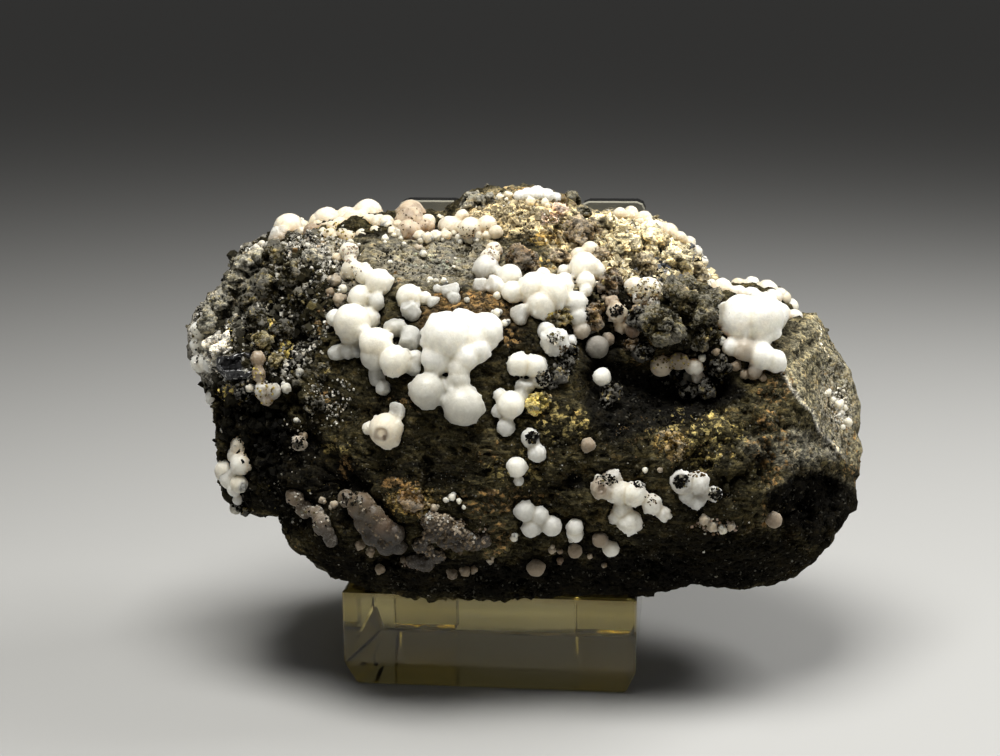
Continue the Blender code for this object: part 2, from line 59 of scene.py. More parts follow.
# viewing point of the sight sheet and its axes
EYE = Vector((0.03504, -0.30784, 0.12548))
YAW, PITCH, ROLL = (math.radians(a) for a in (6.515, 13.171, -0.540))
FOCUS = 1700.0
MID_X, MID_Y = 500.0, 378.0

ROCK_MID = (525.0, 400.0)        # middle of the lump on the sheet
ROCK_DEPTH = 0.3104              # distance of its rim from EYE at mid height
ROCK_RIM_SLOPE = -0.015 / 402.0  # the rim leans back towards the top
ROCK_FRONT = 0.0245              # how far the front stands out of the rim
ROCK_BACK = 0.0315               # how far the back does
CALCITE_SEAT = 0.42              # height of a bead's centre over the rock, in radii

# outline of the lump on the sheet, clockwise from the left end
OUTLINE = [
    (188, 330), (195, 313), (203, 302), (222, 285), (231, 267), (243, 247),
    (262, 238), (300, 229), (330, 224), (368, 217), (411, 214), (445, 216),
    (462, 199), (478, 193), (500, 191), (540, 190), (562, 198), (578, 208),
    (600, 215), (625, 212), (650, 219), (672, 232), (690, 244), (705, 268),
    (722, 284), (752, 288), (780, 292), (800, 317), (812, 315), (835, 351),
    (850, 372), (858, 408), (858, 446), (855, 480), (851, 504), (839, 524),
    (825, 544), (794, 574), (753, 585), (720, 583), (689, 580), (665, 588),
    (644, 593), (600, 590), (570, 590), (540, 597), (495, 598), (450, 597),
    (395, 590), (344, 577), (310, 556), (293, 542), (281, 512), (262, 510),
    (240, 506), (226, 497), (221, 470), (222, 440), (213, 404), (203, 375),
    (192, 358),
]

# hollows (-) and swellings (+) of the show face:
# across, down, half width, half height, millimetres, power of the fall-off
FORMS = [
    (678, 312, 42, 36, 5.5, 1.3),      # rounded lump over the deep hollow
    (664, 390, 66, 32, -8.5, 1.2),     # deep hollow
    (610, 352, 34, 34, -4.5, 1.2),     # its left arm
    (640, 255, 80, 40, 3.0, 1.2),      # upper right shoulder
    (571, 482, 15, 14, -3.0, 1.3),
    (295, 335, 22, 42, -4.5, 1.3),     # pits of the left crust
    (250, 380, 50, 60, 2.0, 1.2),
    (330, 440, 40, 70, -2.0, 1.2),
    (460, 350, 120, 80, 2.5, 1.2),     # swell under the large calcite mass
    (740, 470, 90, 60, 3.0, 1.2),
    (430, 500, 60, 30, 1.5, 1.2),
    (560, 250, 60, 26, -2.5, 1.2),     # shallow shelf below the top hump
    (510, 205, 60, 18, 2.0, 1.2),      # top hump
    (620, 560, 80, 24, -2.0, 1.2),
]

# broken faces: a sheet point, its depth in front of the rim (mm), the way the
# face looks (right, up, towards the eye) and how much of the bulge it takes off
FACES = [
    (826, 440, 8.0, (0.80, 0.05, 0.60), 0.85),     # right end, over the ridge line
    (780, 520, 13.0, (0.40, -0.62, 0.68), 0.70),   # below it
    (760, 330, 15.0, (0.35, 0.62, 0.70), 0.60),    # upper right, under the calcite
    (240, 300, 9.0, (-0.62, 0.50, 0.60), 0.70),    # upper left
    (285, 500, 12.0, (-0.62, -0.45, 0.64), 0.70),  # lower left
    (470, 262, 20.0, (-0.05, 0.80, 0.60), 0.55),   # top, sloping back
    (470, 540, 17.0, (0.02, -0.72, 0.69), 0.70),   # undercut below
    (800, 430, -14.0, (0.75, 0.05, -0.66), 0.85),  # behind the right end
    (262, 380, -16.0, (-0.72, 0.15, -0.68), 0.80), # behind the left end
    (520, 262, -19.0, (0.05, 0.72, -0.69), 0.75),  # behind the top
    (520, 540, -18.0, (-0.05, -0.70, -0.71), 0.75),
]

# calcite beads: name -> rows of (across, down, radius) or
# (across, down, radius, seat) on the sheet; they grow together in one solid
BEADS = {
    "calcite_centre_mass": [
        (447, 336, 25, 0.60), (463, 327, 18, 0.65), (485, 331, 18.5, 0.65),
        (474, 338, 17, 0.80), (438, 357, 17, 0.60), (477, 350, 14, 1.05),
        (466, 357, 13.5, 1.15), (459, 368, 11.5, 1.10), (459, 380, 11.5, 0.90),
        (427, 391, 18, 0.70), (463, 406, 20, 0.70), (444, 387, 9, 0.60),
    ],
    "calcite_left_mass": [
        (349, 252, 10), (352, 269, 10.5), (365, 268, 6), (379, 282, 13.5, 0.7),
        (360, 297, 12), (376, 303, 8, 0.9), (352, 322, 18.5, 0.75), (335, 318, 9),
        (367, 319, 12), (352, 334, 13, 0.4), (376, 344, 17, 0.75), (374, 356, 14, 0.7),
        (395, 361, 15.5, 0.95), (395, 327, 10), (409, 338, 10), (415, 358, 8.5),
        (414, 368, 8), (338, 352, 8), (348, 351, 8.5), (357, 349, 7),
        (384, 388, 7), (376, 377, 7.5),
    ],
    "calcite_trefoil": [
        (409, 297, 13, 0.6), (410, 309, 10, 0.7), (425, 298, 7), (433, 301, 6),
    ],
    "calcite_small_fleck": [(452, 291, 8), (453, 298, 6), (438, 289, 4.5), (445, 290, 4)],
    "calcite_upper_centre": [
        (486, 268, 13), (494, 250, 8.5), (490, 258, 10), (481, 284, 8),
        (494, 286, 9), (510, 276, 12), (513, 292, 11.5, 0.6), (534, 289, 17, 0.6),
        (549, 293, 19, 0.65), (541, 304, 15, 0.6), (560, 287, 13, 0.6),
        (543, 275, 8, 0.6), (520, 314, 9), (575, 304, 13), (579, 317, 11),
        (582, 330, 9), (564, 271, 7), (565, 280, 8), (584, 267, 15, 0.6),
        (590, 250, 9, 0.5), (579, 256, 9, 0.5), (597, 271, 9, 0.5),
        (586, 281, 9.5, 0.6), (586, 290, 7, 0.6),
    ],
    "calcite_pitted_nodule": [(555, 342, 14, 0.6), (546, 332, 8), (571, 341, 6)],
    "calcite_middle_string": [
        (519, 364, 12, 0.7), (535, 366, 12, 0.7), (541, 378, 10), (524, 387, 8),
        (511, 405, 13.5, 0.7), (500, 395, 7), (498, 411, 7), (506, 427, 9.5),
        (520, 396, 7),
    ],
    "calcite_shell_pair": [(530, 438, 9.5), (537, 453, 9.5)],
    "calcite_drop": [(517, 467, 10.5, 0.7), (519, 481, 5.5, 0.7)],
    "calcite_hollow_bead": [(602, 377, 9.5, 0.8)],
    "calcite_hollow_back": [(597, 347, 12), (608, 339, 7)],
    "calcite_brown_bead": [(588, 445, 7.5, 0.6)],
    "calcite_snail_ball": [(386, 430, 17, 0.7), (397, 412, 8.5, 0.6), (369, 428, 7)],
    "calcite_dotted_beads": [(617, 313, 10), (612, 302, 7), (621, 326, 7), (633, 330, 8)],
    "calcite_white_patch": [
        (635, 287, 10), (648, 290, 13), (660, 293, 10), (640, 298, 8), (653, 303, 7),
    ],
    "calcite_overhang_row": [(661, 366, 11), (679, 361, 9.5), (694, 367, 9), (698, 377, 7)],
    "calcite_skyline_right": [
        (620, 214, 7), (631, 214, 8), (644, 219, 8.5), (656, 228, 8),
        (669, 231, 8.5), (680, 238, 7), (689, 243, 7),
    ],
    "calcite_right_mass": [
        (743, 319, 24, 0.55), (760, 319, 23, 0.90), (722, 316, 12, 0.5),
        (721, 290, 10.5, 0.7), (738, 294, 9, 0.8), (752, 297, 10, 0.9),
        (739, 286, 6, 0.6), (752, 283, 7, 0.6), (767, 290, 10.5, 0.7),
        (768, 301, 10, 0.9), (779, 296, 9, 0.7), (779, 314, 12, 0.7),
        (794, 319, 9), (792, 307, 7), (730, 347, 8.5), (745, 350, 12, 0.6),
        (762, 356, 13.5, 0.8), (775, 361, 12, 0.8), (754, 372, 8),
    ],
    "calcite_skyline_end": [(289, 228, 15, 0.2), (277, 236, 8)],
    "calcite_skyline_left": [
        (327, 221, 14, 0.2), (312, 232, 9), (340, 227, 10), (353, 222, 12, 0.2),
        (368, 214, 15, 0.2), (379, 224, 10, 0.2), (349, 238, 8), (330, 236, 8),
    ],
    "calcite_skyline_mottled": [(411, 215, 15, 0.2), (409, 231, 12, 0.3), (427, 226, 8, 0.2)],
    "calcite_skyline_pair": [
        (450, 227, 11.5, 0.3), (470, 229, 12, 0.3), (487, 225, 10, 0.3), (462, 216, 7, 0.2),
    ],
    "calcite_top_cap": [
        (519, 196, 6, 0.1), (528, 195, 8, 0.1), (537, 194, 8.5, 0.1), (547, 196, 8, 0.1), (556, 198, 6, 0.1),
    ],
    "calcite_lower_quartet": [
        (525, 511, 10.5, 0.6), (539, 515, 9.5, 0.6), (531, 528, 10, 0.6), (552, 526, 10.5, 0.6),
    ],
    "calcite_lower_oval": [(575, 527, 8.5, 0.7), (575, 534, 8.5, 0.7)],
    "calcite_lower_tan_bead": [(575, 551, 7.5, 0.6)],
    "calcite_underside_bead": [(536, 568, 9, 0.5)],
    "calcite_tan_pair": [(600, 540, 8, 0.6), (611, 549, 8.5, 0.6)],
    "calcite_lower_right_mass": [
        (602, 488, 11, 0.6), (613, 477, 8), (618, 492, 12), (634, 494, 12, 0.6),
        (622, 510, 9.5), (630, 522, 12, 0.6), (617, 517, 8), (652, 504, 10, 0.6),
        (664, 514, 7.5),
    ],
    "calcite_pitted_right": [
        (682, 482, 11.5, 0.6), (698, 483, 11, 0.6), (696, 502, 8), (714, 494, 8),
        (686, 495, 8), (706, 494, 7),
    ],
    "calcite_right_bead": [(774, 520, 8.5, 0.6)],
    "calcite_left_edge": [(199, 330, 9, 0.2), (197, 345, 8, 0.2), (200, 363, 10, 0.3), (213, 364, 8)],
    "calcite_left_trio": [(258, 358, 7.5), (262, 391, 8), (273, 391, 8), (267, 399, 7), (259, 375, 7)],
    "calcite_left_bead": [(214, 398, 8.5, 0.3)],
    "calcite_left_column": [
        (230, 428, 10.5, 0.3), (240, 445, 10), (226, 470, 11, 0.3), (230, 479, 10.5, 0.3),
        (241, 464, 11.5), (236, 455, 9), (238, 500, 6, 0.2), (234, 490, 7, 0.2),
    ],
    "calcite_mottled_bead": [(299, 443, 8, 0.5)],
    "calcite_lower_left_row": [
        (295, 497, 9), (305, 509, 9.5), (317, 513, 7), (322, 524, 10), (331, 540, 7), (328, 532, 7),
    ],
    "calcite_lower_band": [
        (346, 498, 9), (361, 506, 14), (374, 516, 11), (382, 527, 12), (394, 534, 11),
        (372, 537, 10), (386, 546, 10), (399, 547, 8), (364, 524, 10),
    ],
    "calcite_pink_crust": [
        (430, 520, 9), (443, 524, 10), (456, 531, 10), (468, 541, 9), (432, 534, 9),
        (445, 540, 9), (421, 545, 8), (458, 545, 8), (414, 561, 8), (425, 563, 9),
        (437, 556, 8), (484, 541, 7), (476, 545, 6),
    ],
    # growth carried over the ridge and round the ends, out of sight
    "calcite_back_ridge": [
        (330, 268, 13, 0.5, 1), (352, 262, 16, 0.5, 1), (374, 270, 12, 0.5, 1),
        (345, 288, 11, 0.5, 1), (312, 278, 9, 0.5, 1),
    ],
    "calcite_back_upper_right": [
        (716, 322, 12, 0.5, 1), (735, 332, 15, 0.5, 1), (727, 352, 11, 0.5, 1), (754, 346, 9, 0.5, 1),
    ],
    "calcite_back_right_end": [(790, 420, 12, 0.5, 1), (806, 436, 10, 0.5, 1), (786, 440, 10, 0.5, 1)],
    "calcite_back_left_end": [
        (240, 380, 12, 0.5, 1), (258, 392, 15, 0.5, 1), (248, 412, 11, 0.5, 1), (276, 404, 9, 0.5, 1),
    ],
    "calcite_back_middle": [(520, 430, 13, 0.5, 1), (540, 444, 15, 0.5, 1), (528, 460, 10, 0.5, 1)],
}

DARK_CRYSTAL = (236, 366, 18)    # black glassy crystal in the left crust
RIM_ZONE = 0.90                  # share of the outline's radius where the rim starts


# ------------------------------------------------------------ sight sheet
def sight_axes():
    """Right, up and forward of the sheet in space."""
    cy, sy = math.cos(YAW), math.sin(YAW)
    ct, st = math.cos(PITCH), math.sin(PITCH)
    forward = Vector((-sy * ct, cy * ct, -st))
    right = Vector((cy, sy, 0.0))
    up = right.cross(forward)
    cr, sr = math.cos(ROLL), math.sin(ROLL)
    return cr * right + sr * up, -sr * right + cr * up, forward


RIGHT, UP, FORWARD = sight_axes()


def ray(across, down):
    """Direction from EYE through a sheet point, one unit deep along FORWARD."""
    return FORWARD + RIGHT * ((across - MID_X) / FOCUS) + UP * ((MID_Y - down) / FOCUS)


def at(across, down, depth):
    return EYE + ray(across, down) * depth


def smooth(a, b, x):
    t = min(1.0, max(0.0, (x - a) / (b - a)))
    return t * t * (3.0 - 2.0 * t)


# ------------------------------------------------------------ matrix
def outline_table(steps=360):
    """Radius of the outline round ROCK_MID at each degree."""
    polar = sorted(
        (math.atan2(y - ROCK_MID[1], x - ROCK_MID[0]), math.hypot(x - ROCK_MID[0], y - ROCK_MID[1]))
        for x, y in OUTLINE
    )
    polar = [(polar[-1][0] - 2 * math.pi, polar[-1][1])] + polar + [(polar[0][0] + 2 * math.pi, polar[0][1])]
    table = []
    k = 0
    for i in range(steps):
        angle = -math.pi + 2 * math.pi * i / steps
        while polar[k + 1][0] < angle:
            k += 1
        (a0, r0), (a1, r1) = polar[k], polar[k + 1]
        t = (angle - a0) / (a1 - a0)
        table.append(r0 + (r1 - r0) * t)
    return table


RIM = outline_table()


def rim_radius(angle):
    x = (angle + math.pi) / (2 * math.pi) * len(RIM)
    i = int(math.floor(x))
    t = x - i
    return RIM[i % len(RIM)] * (1 - t) + RIM[(i + 1) % len(RIM)] * t


def forms(across, down):
    """Millimetres that the show face stands out at a sheet point."""
    total = 0.0
    for x, y, rx, ry, amount, power in FORMS:
        d = ((across - x) / rx) ** 2 + ((down - y) / ry) ** 2
        if d < 9.0:
            total += amount * math.exp(-(d ** power))
    return total


def rock_point(n):
    """Point of the lump for a unit direction n = (right, up, towards the eye)."""
    a, b, c = n
    flat = math.hypot(a, b)
    angle = math.atan2(-b, a)
    share = flat ** 0.80
    radius = rim_radius(angle) * share
    across = ROCK_MID[0] + radius * math.cos(angle)
    down = ROCK_MID[1] + radius * math.sin(angle)
    depth = ROCK_DEPTH + ROCK_RIM_SLOPE * (down - ROCK_MID[1])
    if c >= 0.0:
        out = ROCK_FRONT * c ** 0.88
        out += forms(across, down) * MM * smooth(0.05, 0.45, c)
    else:
        out = -ROCK_BACK * (-c) ** 0.80
    point = at(across, down, depth - out)
    # broad unevenness, kept off the rim so that the outline holds
    middle = at(ROCK_MID[0], ROCK_MID[1], ROCK_DEPTH)
    away = (point - middle).normalized()
    free = smooth(0.04, 0.30, abs(c))
    q = point * 1000.0
    swell = noise.noise(q * 0.045 + Vector((3.1, 0.7, 5.9))) * 3.2
    swell += noise.noise(q * 0.11 + Vector((1.7, 8.2, 2.4))) * 1.5
    point += away * (swell * MM * free)
    for foot, way, share_off in BROKEN:
        over = (point - foot).dot(way)
        if over > 0.0:
            point -= way * (over * share_off * smooth(0.0, 0.0012, over))
    # it sits on the block and stands clear of the uprights
    point.z = max(point.z, BLOCK_HEIGHT + GAP)
    point.y = min(point.y, BLOCK_BACK)
    return point


def broken_faces():
    found = []
    for across, down, stand, way, share_off in FACES:
        depth = ROCK_DEPTH + ROCK_RIM_SLOPE * (down - ROCK_MID[1]) - stand * MM
        a, b, c = way
        found.append((at(across, down, depth), (RIGHT * a + UP * b - FORWARD * c).normalized(), share_off))
    return found


BROKEN = broken_faces()


def tree_of(mesh):
    return BVHTree.FromPolygons([v.co.copy() for v in mesh.vertices], [tuple(p.vertices) for p in mesh.polygons])


def height_over(tree, point):
    """Distance from the rock, negative inside it."""
    near, normal, _, distance = tree.find_nearest(point)
    return distance if (point - near).dot(normal) >= 0.0 else -distance


def seat_bead(tree, across, down, radius, seat=CALCITE_SEAT, behind=0):
    """Centre and radius of a bead that sits on the rock at a sheet point."""
    line = ray(across, down).normalized()
    off = Vector((across - ROCK_MID[0], down - ROCK_MID[1], 0.0))
    part = off.length / rim_radius(math.atan2(off.y, off.x))
    if part > RIM_ZONE and not behind:
        # on the rim, where a sight line only grazes the rock
        bulge = math.sqrt(max(0.0, 1.0 - min(1.0, part) ** 2.5))
        depth = ROCK_DEPTH + ROCK_RIM_SLOPE * off.y - ROCK_FRONT * bulge ** 0.88
        return at(across, down, depth), radius * depth / FOCUS
    start = EYE
    if behind:
        start = EYE + line * 0.6
        line = -line
    hit, _, _, distance = tree.ray_cast(start, line)
    if hit is None:
        # beyond the rim: the nearest the sight line comes to the rock
        best, distance = None, 0.0
        for i in range(400):
            d = 0.26 + 0.10 * i / 400.0
            gap = tree.find_nearest(start + line * d)[3]
            if best is None or gap < best:
                best, distance = gap, d
    depth = abs((start + line * distance - EYE).dot(FORWARD))
    size = radius * depth / FOCUS
    d = distance
    step = size * 0.05
    for _ in range(200):
        if height_over(tree, start + line * d) >= seat * size:
            break
        if hit is None:
            break
        d -= step
    return start + line * d, size


def necks(beads):
    """Short fillets that make one body of beads which barely touch."""
    joined, extra = {0}, []
    while len(joined) < len(beads):
        best = None
        for i in joined:
            for j in range(len(beads)):
                if j in joined:
                    continue
                (c0, r0), (c1, r1) = beads[i], beads[j]
                gap = (c0 - c1).length - r0 - r1
                rank = gap / min(r0, r1)
                if best is None or rank < best[0]:
                    best = (rank, i, j)
        rank, i, j = best
        joined.add(j)
        if rank > -0.45:
            (c0, r0), (c1, r1) = beads[i], beads[j]
            way = (c1 - c0).length
            t = (r0 + 0.5 * (way - r0 - r1)) / way
            size = 0.55 * min(r0, r1) + max(0.0, 0.5 * (way - r0 - r1))
            extra.append((c0.lerp(c1, min(0.9, max(0.1, t))), size))
    return extra


# ------------------------------------------------------------ palette
TONES = {
    "basalt": (0.0165, 0.0142, 0.0070),
    "basalt_mid": (0.032, 0.028, 0.0150),
    "basalt_dark": (0.0065, 0.0056, 0.0032),
    # painted shade: near-black basalt for the undercut lower edge, the falls under the ledges, the hollows and the
    # dark lower left
    "basalt_painted_shade": (0.0013, 0.0011, 0.0006),
    "basalt_pale": (0.098, 0.088, 0.060),
    # painted light: the pale tone of the right end's face where it is lit
    "end_painted_light": (0.150, 0.137, 0.094),
    "grey": (0.165, 0.158, 0.128),
    "blue_grey": (0.085, 0.090, 0.098),
    "green": (0.120, 0.130, 0.095),
    "olive": (0.120, 0.098, 0.040),
    "olive_pale": (0.640, 0.560, 0.365),
    "sand": (0.255, 0.212, 0.130),
    "rust": (0.100, 0.064, 0.028),
    "rust_dark": (0.070, 0.048, 0.026),
    "ochre": (0.150, 0.106, 0.038),
    "yellow": (0.480, 0.385, 0.120),
    "frost": (0.620, 0.595, 0.530),
    "pink": (0.420, 0.320, 0.250),
    # black is the tone of black grains, and in ZONES, PATCHES and NUBS also painted shade
    "black": (0.0018, 0.0017, 0.0013),
    "white": (0.805, 0.772, 0.672),
    "bright": (0.875, 0.855, 0.775),
    "cream": (0.790, 0.715, 0.575),
    "peach": (0.700, 0.610, 0.470),
    "glass": (0.430, 0.428, 0.395),
    "pink_grey": (0.400, 0.345, 0.270),
    "tan": (0.270, 0.215, 0.150),
    "brown": (0.160, 0.105, 0.062),
    "grey_white": (0.620, 0.610, 0.560),
    "shadow_grey": (0.220, 0.205, 0.175),
    # painted shade: dim and dim_pink are calcite tones darkened for the beads under the overhang at the bottom
    "dim": (0.098, 0.077, 0.050),
    "dim_pink": (0.140, 0.108, 0.072),
    "boulder": (0.210, 0.165, 0.108),
    "orange": (0.520, 0.350, 0.180),
    "olive_dark": (0.052, 0.047, 0.028),
    "pearl": (0.540, 0.528, 0.470),
    "rosy": (0.500, 0.410, 0.300),
}


def tone(name):
    return np.array(TONES[name])


# tones of the matrix on the sheet: across, down, half width, half height,
# tone, strength; later rows lie over earlier ones
# painted shade: the near-black and black rows, and the basalt_dark row at (568, 352), darken the hollows and pits, the
# recesses between the calcite masses, the falls under the ledges, the dark lower left and the undercut lower edge
ZONES = [
    (440, 262, 95, 34, "basalt_pale", 0.62),
    (360, 250, 50, 18, "basalt_pale", 0.60),
    (520, 214, 66, 24, "sand", 0.90),
    (568, 200, 17, 10, "olive_dark", 0.90),
    (600, 236, 70, 30, "sand", 0.90),
    (640, 252, 88, 42, "olive_pale", 0.95),
    (690, 262, 26, 34, "olive_pale", 0.80),
    (800, 344, 34, 26, "basalt_pale", 0.55),
    (760, 410, 60, 26, "basalt_mid", 0.85),
    (790, 450, 46, 18, "grey", 0.55),
    (820, 505, 52, 42, "basalt_painted_shade", 0.85),
    (740, 455, 50, 32, "basalt", 0.60),
    (700, 560, 160, 34, "basalt_painted_shade", 0.90),
    (600, 582, 170, 28, "basalt_painted_shade", 0.92),
    (420, 575, 110, 26, "basalt_painted_shade", 0.85),
    (470, 318, 60, 26, "rust_dark", 0.55),
    (350, 452, 34, 12, "basalt_mid", 0.40),
    (430, 470, 60, 18, "basalt_painted_shade", 0.55),
    (520, 345, 26, 30, "basalt_painted_shade", 0.60),
    (480, 432, 60, 14, "basalt_mid", 0.35),
    (664, 392, 72, 28, "black", 0.90),
    (604, 358, 30, 30, "basalt_painted_shade", 0.85),
    (571, 482, 13, 10, "black", 0.90),
    (682, 312, 34, 30, "olive_dark", 0.75),
    (280, 282, 60, 44, "basalt_mid", 0.60),
    (240, 300, 40, 40, "grey", 0.45),
    (290, 346, 20, 38, "black", 0.60),
    (205, 345, 16, 32, "frost", 0.55),
    (292, 470, 36, 64, "basalt_painted_shade", 0.90),
    (346, 486, 26, 40, "basalt_painted_shade", 0.85),
    (250, 440, 32, 62, "black", 0.80),
    (250, 500, 28, 20, "black", 0.85),
    (330, 560, 50, 24, "basalt_painted_shade", 0.80),
    (568, 352, 16, 24, "basalt_dark", 0.70),
]
# painted light and shade with a crisp border: painted light on the broken face of the right end, painted shadow under
# its ledge and painted shade in the deep hollow; points of the border, tone, strength and width of the border
PATCHES = [
    (((782, 372), (790, 385), (802, 403), (812, 411), (820, 431), (835, 446), (848, 462), (880, 470),
      (880, 330), (850, 322), (815, 306), (798, 330), (790, 352)), "end_painted_light", 0.92, 2.0),
    (((764, 492), (781, 485), (790, 475), (800, 471), (825, 471), (837, 477), (852, 488), (870, 498),
      (862, 520), (836, 530), (796, 528), (770, 512)), "basalt_painted_shade", 0.92, 2.5),
    (((700, 340), (716, 346), (722, 372), (742, 392), (726, 410), (690, 424), (650, 440), (616, 440),
      (590, 424), (588, 392), (600, 366), (640, 372), (676, 380)), "black", 0.95, 7.0),
]
# the same for stains that break up in single grains
STAINS = [
    (470, 300, 62, 17, "rust", 0.50),
    (505, 330, 20, 24, "rust", 0.42),
    (330, 395, 20, 16, "rust", 0.38),
    (405, 400, 30, 16, "rust", 0.36),
    (413, 503, 27, 15, "ochre", 0.78),
    (396, 484, 22, 9, "rust", 0.55),
    (500, 500, 60, 22, "rust", 0.42),
    (560, 420, 46, 26, "olive", 0.42),
    (520, 470, 50, 30, "olive", 0.40),
    (700, 440, 60, 40, "olive", 0.42),
    (420, 262, 60, 20, "green", 0.36),
    (672, 446, 22, 18, "ochre", 0.56),
    (714, 426, 18, 10, "ochre", 0.08),
    (704, 372, 14, 8, "ochre", 0.45),
    (548, 240, 24, 10, "ochre", 0.66),
    (600, 226, 26, 8, "ochre", 0.55),
    (550, 218, 14, 8, "pink", 0.70),
    (540, 262, 30, 9, "ochre", 0.50),
    (660, 222, 30, 10, "yellow", 0.45),
    (690, 250, 24, 12, "blue_grey", 0.55),
    (654, 268, 30, 9, "blue_grey", 0.55),
    (632, 244, 12, 10, "blue_grey", 0.45),
    (284, 350, 13, 14, "yellow", 0.72),
    (270, 330, 9, 18, "yellow", 0.60),
    (300, 300, 22, 14, "olive", 0.45),
    (218, 318, 26, 16, "olive", 0.55),
    (250, 330, 20, 10, "olive", 0.45),
    (226, 392, 12, 12, "yellow", 0.50),
    (242, 392, 8, 26, "ochre", 0.42),
    (345, 448, 34, 10, "olive", 0.42),
    (345, 468, 10, 22, "rust", 0.50),
    (537, 402, 13, 10, "yellow", 0.80),
    (590, 318, 12, 10, "rust", 0.50),
    (830, 330, 22, 34, "frost", 0.30),
    (770, 440, 40, 30, "sand", 0.30),
]

# edges under which the face falls back: points of the line from left to right,
# fall (mm), width of the slope below and how far down it is carried (units)
LEDGES = [
    (((764, 492), (781, 485), (790, 475), (800, 471), (825, 471), (837, 477), (852, 488)), 3.4, 6.0, 64.0),
    (((850, 466), (835, 447), (820, 432), (812, 412), (802, 404), (790, 385), (780, 370)), 3.0, 34.0, 90.0),
    (((740, 452), (760, 446), (784, 440), (806, 436)), 0.9, 7.0, 26.0),
    (((318, 428), (338, 446), (358, 468), (378, 490), (394, 508), (404, 530), (410, 552)), 3.4, 9.0, 62.0),
    (((470, 556), (500, 548), (530, 544), (560, 542), (600, 556), (640, 540), (680, 536)), 1.4, 8.0, 40.0),
    (((600, 356), (622, 362), (648, 362), (668, 358), (700, 360), (722, 360)), 3.2, 6.0, 66.0),
    (((560, 262), (574, 250), (586, 236), (604, 226)), 1.2, 6.0, 26.0),
    (((286, 404), (306, 398), (326, 404), (344, 418)), 0.9, 6.0, 30.0),
    (((430, 474), (470, 462), (510, 466), (548, 474)), 0.8, 8.0, 36.0),
    (((660, 470), (700, 462), (735, 470), (765, 462)), 0.8, 8.0, 36.0),
    (((600, 420), (640, 424), (690, 414), (730, 404), (770, 396)), 0.7, 8.0, 30.0),
    (((340, 400), (372, 404), (410, 424)), 0.6, 6.0, 30.0),
]

# painted highlights: pale lines along the ridge of the right end and along the lip of its ledge; points of the line,
# width, tone, strength
LINES = [
    (((782, 372), (790, 385), (802, 403), (812, 411), (820, 431), (835, 446), (848, 462)), 1.8, "frost", 0.45),
    (((764, 490), (781, 483), (790, 473), (800, 469), (825, 469), (837, 475), (850, 485)), 2.2, "basalt_pale", 0.55),
]

